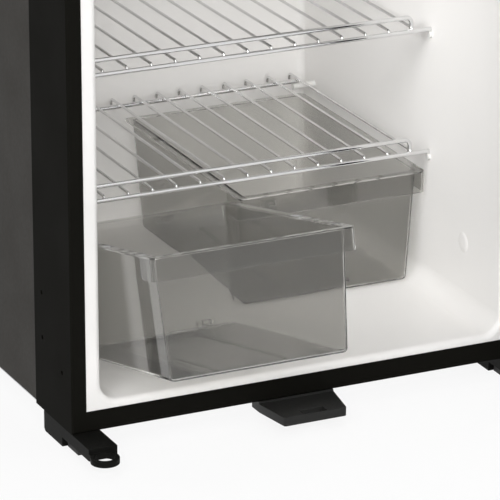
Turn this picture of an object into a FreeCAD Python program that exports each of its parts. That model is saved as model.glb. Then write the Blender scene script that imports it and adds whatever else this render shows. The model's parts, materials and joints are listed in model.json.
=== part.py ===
import FreeCAD, Part
import math
import os

# A marine refrigerator: insulated cabinet with a wrap-round door, wire shelves, two sliding bins, a freezer
# box and a compressor bay behind. Millimetres. X to the right, Y to the back, Z up. The origin is the middle
# of the cabinet's underside.

V = FreeCAD.Vector
ALONG_X = V(1, 0, 0)
ALONG_Y = V(0, 1, 0)
ALONG_Z = V(0, 0, 1)

# Cabinet outside
WIDTH = 525.0
HEIGHT = 792.0
DEPTH = 612.0
FOOT_HEIGHT = 24.0
SHEET = 1.0
FIT = 0.2
SHELL_FLANGE = 14.0
PAN_LIP = 14.0
OVER = 1.0

# Front frame
FRAME_FACE = 16.0
FRAME_BAR = 22.0
FRAME_SKIRT = 96.0
FRAME_WALL = 2.5
FRAME_THICK = 3.0
FRAME_EDGE = 2.0
SIDE_HOLE_R = 2.5
SIDE_HOLE_DEEP = 22.0
SIDE_HOLES = ((76.0, 80.0), (76.0, 129.0), (25.0, 59.0))

# Inner liner
LIP = 17.0
LIP_BAR = 8.0
LIP_SET_BACK = 0.8
LIP_DEEP = 8.0
LIP_ROUND = 6.0
TUCK = 6.0
LINER_WALL = 2.0
LINER_R = 20.0
LINER_REAR_R = 8.0
BAY_DEEP = 101.0
REAR_WALL = 36.0
STEP_Z = 452.0
ALCOVE_INSET = 14.0
ALCOVE_R = 10.0
REAR_FOAM = 26.0
PLUG_R = 11.0
PLUG_PROUD = 1.6
PLUG_STEM_R = 4.0
PLUG_STEM = 9.0
PLUG_DEPTH = 86.0
PLUG_Z = 104.0

# Lower hinge brackets and catch tab
BRACKET_WIDE = 31.5
BRACKET_BACK = 76.0
BRACKET_FOOT = 49.0
BRACKET_THICK = 13.0
BRACKET_REACH = 43.0
BRACKET_CHAMFER = 3.0
EAR_R = 15.0
EAR_THICK = 6.5
EAR_RISE = 1.5
HINGE_IN = 12.5
HINGE_AHEAD = 55.0
HINGE_BORE_R = 10.0
PAD_WIDE = 20.0
PAD_LONG = 26.0
PAD_BACK = 26.0
PAD_SHOW = 1.0
TAB_X = -10.0
TAB_WIDE = 86.0
TAB_TIP_WIDE = 71.0
TAB_REACH = 46.0
TAB_UNDER = 18.0
TAB_THICK = 10.0
TAB_DROP = 2.0
TAB_R = 3.0
SLOT_WIDE = 27.0
SLOT_DEEP = 11.0
SLOT_AHEAD = 39.0
REAR_FOOT_R = 18.0
REAR_FOOT_TOE_R = 14.0
REAR_FOOT_IN = 47.5
REAR_FOOT_BACK = 60.0

# Hinge pins
PIN_R = 5.0
PIN_GAP = 0.05
PIN_LONG = 13.0
PIN_WASHER_R = 9.0
UPPER_PLATE = 3.0
UPPER_PLATE_WIDE = 46.0
UPPER_PLATE_BACK = 42.0
UPPER_PLATE_NOSE = 12.0
RIVET_HEAD_R = 8.0
RIVET_HEAD = 2.5
SCREW_R = 2.2
SCREW_HEAD_R = 4.4
SCREW_HEAD = 2.4
SCREW_LONG = 16.0
SCREW_SPREAD = 26.0
SCREW_BACK = 20.0

# Wire shelves
SHELF_FRONT = 167.5
SHELF_WIRE_GAP = 30.0
SHELF_END_GAP = 10.0
SHELF_SIDE = 22.0
LOWER_SHELF_Z = 182.7
UPPER_SHELF_Z = 320.5
RAIL_R = 2.4
RAIL_UP = 14.5
RAIL_BEND = 6.0
CROSS_R = 1.6
CROSS_COUNT = 16
CROSS_TAIL = 7.0
CROSS_BEND = 4.0
WELD = 0.4
WALL_GAP = 0.5
STUD_R = 3.5
FRONT_STUD_LONG = 3.0
SEAT_GAP = 0.3

# Bins
BIN_FRONT = 168.0
BIN_REAR_GAP = 8.0
BIN_SIDE_GAP = 4.0
BIN_MIDDLE_GAP = 5.0
BIN_LIFT = 2.5
BIN_HIGH = 127.5
BIN_WALL = 2.0
BIN_RIM = 7.0
BIN_REAR_RIM = 4.0
BIN_SIDE_DRAFT = 7.0
BIN_FRONT_DRAFT = 5.0
BIN_REAR_DRAFT = 10.0
BIN_CORNER_R = 6.0
BIN_FLOOR_R = 5.0
BAND_HIGH = 24.0
BAND_RETURN = 30.0
BAND_R = 6.0
SKID_WIDE = 2.5
SKID_SIDE = 73.5
SKID_INSET = 26.0
HEEL_IN = 6.0
HEEL_OUT = 146.0
HEEL_UP = 5.5
HEEL_SIDE = 45.5
HEEL_LUG_R = 3.5
HEEL_LUG_WIDE = 10.0
HEEL_PIN_R = 2.0
GLIDE_CHEEK = 4.0
GLIDE_SIDE_GAP = 0.5
GLIDE_SOLE = 1.2
GLIDE_FRONT = 7.0
GLIDE_REAR = 5.0
BIN_TIP = 13.0

# Freezer box, its flap and drip tray
EVAP_SIDE_GAP = 39.5
EVAP_REAR_GAP = 10.0
EVAP_LONG = 304.0
EVAP_DROP = 20.0
EVAP_HIGH = 144.0
EVAP_WALL = 1.6
EVAP_R = 10.0
HANGER_R = 6.0
HANGER_SIDE = 40.0
HANGER_FRONT_IN = 38.0
HANGER_REAR_IN = 32.0
FLAP_FRAME_BAND = 16.0
FLAP_FRAME_PROUD = 6.0
FLAP_FRAME_THICK = 12.0
FLAP_THICK = 9.0
FLAP_GAP = 1.5
FLAP_EAR = 8.0
FLAP_PIN_R = 2.0
FLAP_PIN_IN = 8.0
FLAP_GRIP_HIGH = 60.0
FLAP_GRIP_PROUD = 8.0
FLAP_GRIP_WIDE = 12.0
TRAY_REAR_IN = 96.0
TRAY_AHEAD = 10.0
TRAY_SIDE_IN = 12.0
TRAY_HIGH = 19.0
TRAY_WALL = 1.8
TRAY_FLANGE = 7.5
TRAY_R = 8.0
TRAY_RAIL = 2.0
TRAY_RAIL_DROP = 16.0
TRAY_RAIL_LEDGE = 6.0

# Control housing on the right wall
CONTROL_THICK = 34.0
CONTROL_FRONT = 90.0
CONTROL_BACK = 170.0
CONTROL_DROP = 32.0
CONTROL_HIGH = 90.0
CONTROL_R = 6.0
KNOB_R = 17.0
KNOB_THICK = 12.0
KNOB_UP = 60.0
KNOB_SHAFT_R = 3.0
KNOB_SHAFT = 14.0
KNOB_RIDGE = 5.0
KNOB_GAP = 0.6
LENS_WIDE = 52.0
LENS_HIGH = 26.0
LENS_THICK = 2.0
LENS_UP = 22.0
LENS_R = 5.0

# Door, in its shut place
DOOR_LOW = 4.0
DOOR_TOP_GAP = 2.0
DOOR_GAP = 12.0
DOOR_THICK = 54.0
EDGE_WALL = 3.0
EDGE_BEZEL = 14.0
EDGE_R = 3.0
SKIN_THICK = 1.5
DOOR_LINER = 2.0
GASKET_IN = 8.0
GASKET_WIDE = 18.0
GASKET_R = 3.0
GASKET_SQUEEZE = 0.5
RIB_SIDE_GAP = 37.5
RIB_WIDE = 14.0
RIB_REACH = 52.0
RIB_LOW = 60.0
RIB_DROP = 60.0
RIB_R = 5.0
LEDGE_WIDE = 6.0
LEDGE_THICK = 4.0
TRAY_SIDE_GAP = 0.4
BOTTLE_Z = 74.0
BOTTLE_HIGH = 62.0
BOTTLE_REACH = 95.0
UPPER_TRAY_Z = 430.0
UPPER_TRAY_HIGH = 46.0
UPPER_TRAY_REACH = 80.0
DOOR_TRAY_WALL = 2.5
DOOR_TRAY_R = 10.0
GUARD_R = 3.0
GUARD_UP = 96.0
GUARD_BEND = 14.0
BUSH_R = 8.0
BUSH_LONG = 14.0
HANDLE_IN = 38.0
HANDLE_LOW = 325.0
HANDLE_LONG = 150.0
HANDLE_R = 8.0
HANDLE_OUT = 27.0
HANDLE_POST_R = 6.5
HANDLE_POST_IN = 18.0
BOLT_WIDE = 24.0
BOLT_DEEP = 8.0
BOLT_LONG = 62.0
BOLT_TRAVEL = 14.0
BOLT_GAP = 0.4
BOLT_TUCK = 0.5
GUIDE_WALL = 2.0
GUIDE_LONG = 78.0
NECK_WIDE = 6.0
NECK_HIGH = 10.0
NECK_UP = 48.0
THUMB_WIDE = 22.0
THUMB_HIGH = 16.0
THUMB_THICK = 6.0
THUMB_GAP = 0.6
DOOR_OPEN = 180.0

# Machine bay
BAY_CLEAR = 4.0
COMPRESSOR_X = -130.0
COMPRESSOR_HIGH = 118.0
COMPRESSOR_DOME = 20.0
COMPRESSOR_SEAM = 3.0
COMPRESSOR_SEAM_HIGH = 5.0
PLATE_THICK = 2.0
PLATE_HALF_X = 68.0
PLATE_CLEAR = 2.0
PLATE_R = 8.0
STUB_R = 4.0
STUB_X = 20.0
STUB_TOP = 142.0
GROMMET_R = 8.0
GROMMET_HIGH = 12.0
GROMMET_EDGE = 10.0
BASE_RAIL = 2.0
BASE_RAIL_END = 12.0
BASE_RAIL_LIP = 9.0
MODULE_THICK = 22.0
MODULE_EDGE = 10.0
MODULE_LOW = 32.0
MODULE_HIGH = 74.0
MODULE_R = 3.0
MODULE_FINS = 7
MODULE_FIN_OUT = 9.0
MODULE_FIN_THICK = 2.0
FAN_X = -5.0
FAN_THICK = 25.0
FAN_RIM = 4.0
FAN_HUB_R = 14.0
FAN_WEB = 4.0
FAN_ARM = 5.0
FAN_ARMS = 3
FAN_SHAFT_R = 1.5
ROTOR_TIP_GAP = 2.0
ROTOR_HUB_R = 15.0
ROTOR_LONG = 13.0
ROTOR_BLADES = 7
ROTOR_BLADE = 1.6
ROTOR_PITCH = 35.0
TUBE_R = 2.5
TUBE_BEND = 10.0
COIL_FAN_GAP = 38.0
COIL_DRIER_GAP = 26.0
COIL_LOW = 30.0
COIL_RUNS = 9
COIL_PITCH = 20.0
COIL_WIRE_R = 0.8
COIL_WIRES = 13
COIL_WIRE_UP = 10.0
DRIER_IN = 33.8
DRIER_R = 9.0
DRIER_LOW = 62.0
DRIER_LONG = 90.0
DRIER_TAPER = 10.0
PIPE_RISE = 236.0
SUCTION_RISE = 262.0
CAPILLARY_R = 1.2
GUARD_SLOT_EDGE = 33.6
GUARD_SLOT_HIGH = 5.0
GUARD_SLOT_PITCH = 15.0
GUARD_SLOT_ROWS = 20
GUARD_SLOT_COLUMNS = 4
GUARD_SLOT_GAP = 22.0
GUARD_SLOT_LOW = 84.0
GLAND_IN = 44.8
GLAND_Z = 48.0
GLAND_R = 7.0
GLAND_NUT_R = 10.0
GLAND_NUT = 6.0
GLAND_INSIDE = 12.0
GLAND_BORE_R = 3.5
PAN_SLOTS = 7
PAN_SLOT_WIDE = 10.0
PAN_SLOT_LONG = 60.0
PAN_SLOT_PITCH = 20.0
PAN_SLOT_X = 128.0
PAN_BEAD_WIDE = 6.0
PAN_BEAD_DEEP = 0.5
PAN_BEAD_SIDE = 40.0
PAN_BEAD_GAP = 14.0
PAN_BEAD_R = 12.0

# Places worked out from the sizes
FRONT = -DEPTH / 2
REAR = DEPTH / 2
HALF = WIDTH / 2
SHELL_HALF = HALF - FRAME_WALL - FIT
SHELL_TOP = HEIGHT - FRAME_WALL - FIT
INNER_HALF = HALF - FRAME_FACE - LIP
FLOOR_Z = FRAME_BAR + LIP_BAR
CEILING_Z = HEIGHT - FRAME_BAR - LIP_BAR
BAY_FRONT = DEPTH - BAY_DEEP
LOWER_DEPTH = BAY_FRONT - SHEET - REAR_FOAM - LINER_WALL
UPPER_DEPTH = DEPTH - REAR_WALL
BAY_TOP = STEP_Z - LINER_WALL - REAR_FOAM
HINGE_X = HALF - HINGE_IN
HINGE_Y = FRONT - HINGE_AHEAD
EAR_LOW = EAR_RISE - BRACKET_THICK
DOOR_BACK = FRONT - DOOR_GAP
DOOR_FACE = DOOR_BACK - DOOR_THICK
DOOR_TOP = HEIGHT - DOOR_TOP_GAP
REAR_FOOT_X = HALF - REAR_FOOT_IN
SHELF_BACK_WIRE = LOWER_DEPTH - SHELF_WIRE_GAP
SHELF_END = LOWER_DEPTH - SHELF_END_GAP
BIN_DEPTH = LOWER_DEPTH - BIN_FRONT - BIN_REAR_GAP
BIN_WIDE = INNER_HALF - BIN_SIDE_GAP - BIN_MIDDLE_GAP / 2
BIN_X = (BIN_WIDE + BIN_MIDDLE_GAP) / 2
SKID_X = BIN_WIDE / 2 - SKID_SIDE
HEEL_X = BIN_WIDE / 2 - HEEL_SIDE
HEEL_BACK = BIN_FRONT + BIN_DEPTH - HEEL_IN
BIN_PULL = HEEL_BACK - HEEL_OUT
EVAP_HALF = INNER_HALF - EVAP_SIDE_GAP
EVAP_BACK = UPPER_DEPTH - EVAP_REAR_GAP
EVAP_FRONT = EVAP_BACK - EVAP_LONG
EVAP_TOP = CEILING_Z - EVAP_DROP
EVAP_LOW = EVAP_TOP - EVAP_HIGH
HANGER_X = EVAP_HALF - HANGER_SIDE
HANGER_FRONT = EVAP_FRONT + HANGER_FRONT_IN
HANGER_BACK = LOWER_DEPTH - HANGER_REAR_IN
TRAY_HALF = EVAP_HALF - TRAY_SIDE_IN
TRAY_FRONT = EVAP_FRONT - TRAY_AHEAD
TRAY_BACK = EVAP_BACK - TRAY_REAR_IN
CONTROL_LOW = CEILING_Z - CONTROL_DROP - CONTROL_HIGH
RIB_IN = INNER_HALF - RIB_SIDE_GAP
RIB_TOP = DOOR_TOP - RIB_DROP
BAY_HALF = (BAY_DEEP - SHEET) / 2
MACHINE_Y = FRONT + BAY_FRONT + BAY_HALF
COMPRESSOR_R = BAY_HALF - BAY_CLEAR - COMPRESSOR_SEAM
BASE_RAIL_HALF_Y = BAY_HALF - 2 * BAY_CLEAR
BASE_RAIL_HALF_X = PLATE_HALF_X + BASE_RAIL_END
PLATE_HALF_Y = BASE_RAIL_HALF_Y - BASE_RAIL - PLATE_CLEAR
GROMMET_X = PLATE_HALF_X - GROMMET_EDGE
GROMMET_Y = PLATE_HALF_Y - GROMMET_EDGE
MODULE_HALF_Y = BASE_RAIL_HALF_Y - MODULE_EDGE
FAN_HALF = BAY_HALF - BAY_CLEAR
FAN_BORE_R = FAN_HALF - FAN_RIM
ROTOR_R = FAN_BORE_R - ROTOR_TIP_GAP
DRIER_X = SHELL_HALF - DRIER_IN
COIL_LEFT = FAN_X + FAN_THICK + COIL_FAN_GAP
COIL_RIGHT = DRIER_X - COIL_DRIER_GAP
GLAND_X = GLAND_IN - SHELL_HALF


def behind(depth):
    """Y of a point that lies so far behind the front face of the frame."""
    return FRONT + depth


def box(x0, x1, y0, y1, z0, z1):
    return Part.makeBox(x1 - x0, y1 - y0, z1 - z0, V(x0, y0, z0))


def rod(radius, start, end):
    axis = end - start
    return Part.makeCylinder(radius, axis.Length, start, axis)


def prism(profile, x0, x1):
    """Solid between two X planes with a closed (y, z) outline."""
    points = [V(x0, y, z) for y, z in profile]
    face = Part.Face(Part.makePolygon(points + points[:1]))
    return face.extrude(V(x1 - x0, 0, 0))


def slab(outline, z0, z1):
    """Solid between two heights with a closed (x, y) outline."""
    points = [V(x, y, z0) for x, y in outline]
    face = Part.Face(Part.makePolygon(points + points[:1]))
    return face.extrude(V(0, 0, z1 - z0))


def edges_along(shape, axis):
    """Straight edges that run along an axis."""
    found = []
    for edge in shape.Edges:
        if isinstance(edge.Curve, Part.Line) or isinstance(edge.Curve, Part.LineSegment):
            if abs(edge.tangentAt(edge.FirstParameter).dot(axis)) > 0.999:
                found.append(edge)
    return found


def edges_on(shape, axis, value):
    """Edges that lie in a plane square to an axis."""
    found = []
    for edge in shape.Edges:
        bound = edge.BoundBox
        low = V(bound.XMin, bound.YMin, bound.ZMin).dot(axis)
        high = V(bound.XMax, bound.YMax, bound.ZMax).dot(axis)
        if abs(low - value) < 0.01 and abs(high - value) < 0.01:
            found.append(edge)
    return found


def rounded_outline(x0, x1, y0, y1, z, radius):
    """Wire of a rectangle with round corners at one height."""
    flat = box(x0, x1, y0, y1, z, z + OVER)
    flat = flat.makeFillet(radius, edges_along(flat, ALONG_Z))
    for face in flat.Faces:
        if abs(face.CenterOfMass.z - z) < 0.01:
            return face.OuterWire
    return None


def bent_path(points, bend):
    """Wire through points, with a round bend at each inner one."""
    edges = []
    start = points[0]
    for before, corner, after in zip(points, points[1:], points[2:]):
        towards = (corner - before).normalize()
        away = (after - corner).normalize()
        turn = towards.getAngle(away)
        reach = bend * math.tan(turn / 2)
        first = corner - towards * reach
        last = corner + away * reach
        inward = (away - towards).normalize()
        middle = corner + inward * (bend / math.cos(turn / 2) - bend)
        if (first - start).Length > 0.001:
            edges.append(Part.LineSegment(start, first).toShape())
        edges.append(Part.Arc(first, middle, last).toShape())
        start = last
    edges.append(Part.LineSegment(start, points[-1]).toShape())
    return Part.Wire(edges)


def wire(points, radius, bend=None):
    """Round bar or tube along points."""
    if len(points) == 2:
        return rod(radius, points[0], points[1])
    path = bent_path(points, bend)
    ring = Part.Wire(Part.makeCircle(radius, points[0], points[1] - points[0]))
    return path.makePipeShell([ring], True, False)


def mirrored(shape):
    """Copy on the other side of the middle."""
    return shape.mirror(V(0, 0, 0), ALONG_X)


# Cabinet

def side_holes():
    """Fixing holes through the frame's skirts and into the foam, low and high on both sides."""
    holes = []
    for depth, z in SIDE_HOLES:
        for level in (z, HEIGHT - z):
            left = rod(SIDE_HOLE_R, V(-HALF - OVER, behind(depth), level),
                       V(-HALF + SIDE_HOLE_DEEP, behind(depth), level))
            holes += [left, mirrored(left)]
    return holes


def front_frame():
    body = box(-HALF, HALF, FRONT, FRONT + FRAME_SKIRT, 0, HEIGHT)
    body = body.makeFillet(FRAME_EDGE, edges_on(body, ALONG_Y, FRONT))
    inside = HALF - FRAME_WALL
    hollow = box(-inside, inside, FRONT + FRAME_THICK, FRONT + FRAME_SKIRT + OVER, -OVER, HEIGHT - FRAME_WALL)
    clear = HALF - FRAME_FACE
    opening = box(-clear, clear, FRONT - OVER, FRONT + FRAME_SKIRT, FRAME_BAR, HEIGHT - FRAME_BAR)
    return body.cut([hollow, opening] + side_holes() + screw_holes())


def outer_shell():
    """One folded sheet: both sides and the top, turned in at the back."""
    start = FRONT + FRAME_THICK + LINER_WALL
    wrap = box(-SHELL_HALF, SHELL_HALF, start, REAR, SHEET, SHELL_TOP)
    inside = SHELL_HALF - SHEET
    hollow = box(-inside, inside, start - OVER, REAR - SHEET, -OVER, SHELL_TOP - SHEET)
    window_half = SHELL_HALF - SHELL_FLANGE
    window = box(-window_half, window_half, REAR - 2 * SHEET, REAR + OVER, -OVER, SHELL_TOP - SHELL_FLANGE)
    return wrap.cut([hollow, window] + side_holes() + screw_holes())


def pan_bead():
    """Shallow groove pressed all round the flat field under the cabinet, clear of the brackets and feet."""
    half = SHELL_HALF - PAN_BEAD_SIDE
    start, end = behind(BRACKET_BACK + PAN_BEAD_GAP), behind(BAY_FRONT - PAN_BEAD_GAP)
    outer = box(-half, half, start, end, -OVER, PAN_BEAD_DEEP)
    outer = outer.makeFillet(PAN_BEAD_R, edges_along(outer, ALONG_Z))
    inset = PAN_BEAD_WIDE
    field = box(-half + inset, half - inset, start + inset, end - inset, -OVER, PAN_BEAD_DEEP)
    field = field.makeFillet(PAN_BEAD_R - inset / 2, edges_along(field, ALONG_Z))
    return outer.cut(field)


def base_pan():
    pan = box(-SHELL_HALF, SHELL_HALF, FRONT + FRAME_THICK, REAR, 0, SHEET)
    lip_half = SHELL_HALF - SHELL_FLANGE - FIT
    lip = box(-lip_half, lip_half, REAR - SHEET, REAR, 0, PAN_LIP)
    slots = []
    for index in range(PAN_SLOTS):
        middle = PAN_SLOT_X + (index - (PAN_SLOTS - 1) / 2) * PAN_SLOT_PITCH
        slots.append(box(middle - PAN_SLOT_WIDE / 2, middle + PAN_SLOT_WIDE / 2, MACHINE_Y + COIL_WIRE_UP,
                         MACHINE_Y + COIL_WIRE_UP + PAN_SLOT_LONG / 2, -OVER, SHEET + OVER))
    return pan.fuse(lip).cut(slots + [pan_bead()])


def back_sheet():
    """Rear sheet that steps forward over the machine bay."""
    wall = behind(BAY_FRONT)
    top = SHELL_TOP - SHEET
    outside = REAR - SHEET
    profile = ((wall - SHEET, SHEET), (wall, SHEET), (wall, BAY_TOP - SHEET), (outside, BAY_TOP - SHEET),
               (outside, top), (outside - SHEET, top), (outside - SHEET, BAY_TOP), (wall - SHEET, BAY_TOP))
    inside = SHELL_HALF - SHEET
    return prism(profile, -inside, inside)


def main_space(grow):
    """Lower and front part of the inner space, grown by a wall."""
    half = INNER_HALF + grow
    room = box(-half, half, FRONT - OVER, behind(LOWER_DEPTH) + grow, FLOOR_Z - grow, CEILING_Z + grow)
    room = room.makeFillet(LINER_R + grow, edges_along(room, ALONG_Y))
    return room.makeFillet(LINER_REAR_R + grow, edges_on(room, ALONG_Y, behind(LOWER_DEPTH) + grow))


def alcove_space(grow):
    """Deeper upper part over the machine bay."""
    half = INNER_HALF - ALCOVE_INSET + grow
    start = behind(LOWER_DEPTH) - LINER_R
    end = behind(UPPER_DEPTH) + grow
    room = box(-half, half, start, end, STEP_Z - grow, CEILING_Z - ALCOVE_INSET + grow)
    room = room.makeFillet(ALCOVE_R + grow, edges_along(room, ALONG_Y))
    return room.makeFillet(ALCOVE_R / 2 + grow, edges_on(room, ALONG_Y, end))


def inner_space(grow):
    return main_space(grow).fuse(alcove_space(grow))


def lip_block():
    half = HALF - FRAME_FACE - FIT
    low = FRAME_BAR + FIT
    start = FRONT + LIP_SET_BACK
    return box(-half, half, start, start + LIP_DEEP, low, HEIGHT - low)


def plug_places():
    y = behind(PLUG_DEPTH)
    return ((V(-INNER_HALF, y, PLUG_Z), V(-1, 0, 0)), (V(INNER_HALF, y, PLUG_Z), V(1, 0, 0)))


def plug_holes():
    return [rod(PLUG_STEM_R + FIT, place - into * OVER, place + into * (PLUG_STEM + FIT))
            for place, into in plug_places()]


def inner_liner():
    start = FRONT + LIP_SET_BACK
    front_cut = box(-WIDTH, WIDTH, FRONT - DEPTH, start, -HEIGHT, 2 * HEIGHT)
    walls = inner_space(LINER_WALL).cut(front_cut)
    half = HALF - FRAME_FACE + TUCK
    low = FRAME_BAR - TUCK
    tuck = box(-half, half, FRONT + FRAME_THICK, FRONT + FRAME_THICK + LINER_WALL, low, HEIGHT - low)
    body = walls.fuse([lip_block(), tuck]).cut(inner_space(0))
    mouth = []
    for edge in edges_on(body, ALONG_Y, start):
        middle = edge.CenterOfMass
        if abs(middle.x) < INNER_HALF + OVER and FLOOR_Z - OVER < middle.z < CEILING_Z + OVER:
            mouth.append(edge)
    return body.makeFillet(LIP_ROUND, mouth).cut(plug_holes())


def insulation_foam():
    half = SHELL_HALF - SHEET
    start = FRONT + FRAME_THICK + LINER_WALL
    top = SHELL_TOP - SHEET
    low_part = box(-half, half, start, behind(BAY_FRONT) - SHEET, SHEET, top)
    high_part = box(-half, half, start, REAR - 2 * SHEET, BAY_TOP, top)
    foam = low_part.fuse(high_part).cut([inner_space(LINER_WALL), lip_block()])
    return foam.cut(side_holes() + plug_holes() + screw_holes())


def wall_plugs():
    plugs = []
    for place, into in plug_places():
        cap = rod(PLUG_R, place - into * PLUG_PROUD, place)
        rim = edges_on(cap, ALONG_X, (place - into * PLUG_PROUD).x)
        cap = cap.makeFillet(PLUG_PROUD * 0.8, rim)
        plugs.append(cap.fuse(rod(PLUG_STEM_R, place, place + into * PLUG_STEM)))
    return plugs


# Brackets, pins and feet

def right_hinge_bracket():
    inner = HALF - BRACKET_WIDE
    heel = behind(BRACKET_BACK)
    foot = box(inner, HALF, heel - BRACKET_FOOT, heel, PAD_SHOW - FOOT_HEIGHT, 0)
    plate = box(inner, HALF, FRONT - BRACKET_REACH, heel, -BRACKET_THICK, 0)
    body = foot.fuse(plate).removeSplitter()
    heel_foot = [edge for edge in edges_on(body, ALONG_Y, heel) if edge.CenterOfMass.z < -BRACKET_THICK]
    body = body.makeChamfer(BRACKET_CHAMFER, heel_foot)
    ear_top = EAR_LOW + EAR_THICK
    ear = rod(EAR_R, V(HINGE_X, HINGE_Y, EAR_LOW), V(HINGE_X, HINGE_Y, ear_top))
    neck = box(HINGE_X - EAR_R, HALF, HINGE_Y, FRONT - BRACKET_REACH, EAR_LOW, ear_top)
    bore = rod(HINGE_BORE_R, V(HINGE_X, HINGE_Y, -BRACKET_THICK - OVER), V(HINGE_X, HINGE_Y, OVER))
    recess = box(inner - OVER, HALF + OVER, HINGE_Y - EAR_R, HINGE_Y + HINGE_BORE_R, ear_top, OVER)
    return body.cut(recess).fuse([ear, neck]).cut(bore).removeSplitter()


def left_hinge_bracket():
    return mirrored(right_hinge_bracket())


def foot_pads():
    pads = []
    for side in (-1, 1):
        middle = side * (HALF - BRACKET_WIDE / 2)
        pad = box(middle - PAD_WIDE / 2, middle + PAD_WIDE / 2, behind(PAD_BACK) - PAD_LONG, behind(PAD_BACK),
                  -FOOT_HEIGHT, -BRACKET_THICK)
        pads.append(pad.makeChamfer(PAD_SHOW, edges_on(pad, ALONG_Z, -FOOT_HEIGHT)))
    return pads


def rear_feet():
    feet = []
    for side in (-1, 1):
        place = V(side * REAR_FOOT_X, REAR - REAR_FOOT_BACK, -FOOT_HEIGHT)
        feet.append(Part.makeCone(REAR_FOOT_TOE_R, REAR_FOOT_R, FOOT_HEIGHT, place, ALONG_Z))
    return feet


def catch_tab():
    """Slotted tongue under the middle of the frame that the door's bolt drops into."""
    wide = TAB_WIDE / 2
    tip = TAB_TIP_WIDE / 2
    outline = ((TAB_X - wide, FRONT + TAB_UNDER), (TAB_X - wide, FRONT), (TAB_X - tip, FRONT - TAB_REACH),
               (TAB_X + tip, FRONT - TAB_REACH), (TAB_X + wide, FRONT), (TAB_X + wide, FRONT + TAB_UNDER))
    low = -TAB_DROP - TAB_THICK
    body = slab(outline, low, -TAB_DROP)
    front_edges = [edge for edge in edges_along(body, ALONG_Z) if edge.CenterOfMass.y < FRONT - OVER]
    body = body.makeFillet(TAB_R, front_edges)
    root = box(TAB_X - wide, TAB_X + wide, FRONT, FRONT + TAB_UNDER, low, 0)
    slot_y = FRONT - SLOT_AHEAD
    slot = box(TAB_X - SLOT_WIDE / 2, TAB_X + SLOT_WIDE / 2, slot_y - SLOT_DEEP / 2, slot_y + SLOT_DEEP / 2,
               low - OVER, OVER)
    return body.fuse(root).cut(slot).removeSplitter()


def lower_hinge_pin():
    """Pin with a seat in the right ear and a washer that the door stands on."""
    low = V(HINGE_X, HINGE_Y, EAR_LOW)
    seat = V(HINGE_X, HINGE_Y, EAR_LOW + EAR_THICK)
    washer = V(HINGE_X, HINGE_Y, DOOR_LOW - SEAT_GAP)
    top = V(HINGE_X, HINGE_Y, DOOR_LOW + PIN_LONG)
    collar = rod(PIN_WASHER_R, seat, washer)
    return rod(HINGE_BORE_R - FIT / 4, low, seat).fuse([collar, rod(PIN_R, washer, top)])


def upper_hinge_bracket():
    left = HALF - UPPER_PLATE_WIDE
    nose = HINGE_Y - UPPER_PLATE_NOSE
    plate = box(left, HALF, nose, FRONT + UPPER_PLATE_BACK, HEIGHT, HEIGHT + UPPER_PLATE)
    corners = [edge for edge in edges_along(plate, ALONG_Z) if edge.CenterOfMass.y < FRONT - OVER]
    plate = plate.makeFillet(UPPER_PLATE_NOSE * 0.9, corners)
    hole = rod(PIN_R + PIN_GAP, V(HINGE_X, HINGE_Y, HEIGHT - OVER),
               V(HINGE_X, HINGE_Y, HEIGHT + UPPER_PLATE + OVER))
    return plate.cut([hole] + screw_holes())


def screw_places():
    middle = HALF - UPPER_PLATE_WIDE / 2
    return (middle - SCREW_SPREAD / 2, middle + SCREW_SPREAD / 2)


def screw_holes():
    y = FRONT + SCREW_BACK
    return [rod(SCREW_R + FIT / 2, V(x, y, HEIGHT - SCREW_LONG - OVER), V(x, y, HEIGHT + UPPER_PLATE + OVER))
            for x in screw_places()]


def upper_bracket_screws():
    screws = []
    for x in screw_places():
        seat = V(x, FRONT + SCREW_BACK, HEIGHT + UPPER_PLATE)
        head = Part.makeCone(SCREW_HEAD_R, SCREW_HEAD_R * 0.6, SCREW_HEAD, seat, ALONG_Z)
        screws.append(head.fuse(rod(SCREW_R, seat - ALONG_Z * SCREW_LONG, seat)))
    return screws


def upper_hinge_pin():
    low = V(HINGE_X, HINGE_Y, DOOR_TOP - PIN_LONG)
    top = V(HINGE_X, HINGE_Y, HEIGHT + UPPER_PLATE)
    return rod(PIN_R, low, top).fuse(rod(RIVET_HEAD_R, top, top + ALONG_Z * RIVET_HEAD))


# Shelves

def wire_shelf(z):
    """Welded grid with a raised guard wire along its front."""
    y_front = behind(SHELF_FRONT)
    y_guard = y_front + 2 * RAIL_R - WELD
    y_back = behind(SHELF_BACK_WIRE)
    y_end = behind(SHELF_END)
    reach = INNER_HALF - WALL_GAP
    side = INNER_HALF - SHELF_SIDE
    top = z + RAIL_R + CROSS_R - WELD
    wires = [wire((V(-side, y_guard, z), V(-side, y_guard, z + RAIL_UP), V(side, y_guard, z + RAIL_UP),
                   V(side, y_guard, z)), RAIL_R, RAIL_BEND)]
    wires.append(wire((V(-side - CROSS_R, y_back, z), V(side + CROSS_R, y_back, z)), RAIL_R))
    for index in range(CROSS_COUNT):
        x = -side + 2 * side * index / (CROSS_COUNT - 1)
        wires.append(wire((V(x, y_front, top), V(x, y_end, top), V(x, y_end, top - CROSS_TAIL)),
                          CROSS_R, CROSS_BEND))
    front = wire((V(-reach, y_front, z), V(reach, y_front, z)), RAIL_R)
    return front.fuse(wires)


def shelf_studs():
    """Pegs in the side walls under the front and back wires of each shelf."""
    studs = []
    for z in (LOWER_SHELF_Z, UPPER_SHELF_Z):
        level = z - RAIL_R - SEAT_GAP - STUD_R
        rear_long = SHELF_SIDE + CROSS_R + STUD_R
        for depth, long in ((SHELF_FRONT, FRONT_STUD_LONG), (SHELF_BACK_WIRE, rear_long)):
            y = behind(depth)
            left = rod(STUD_R, V(-INNER_HALF, y, level), V(-INNER_HALF + long, y, level))
            studs += [left, mirrored(left)]
    return studs


# Bins

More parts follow.
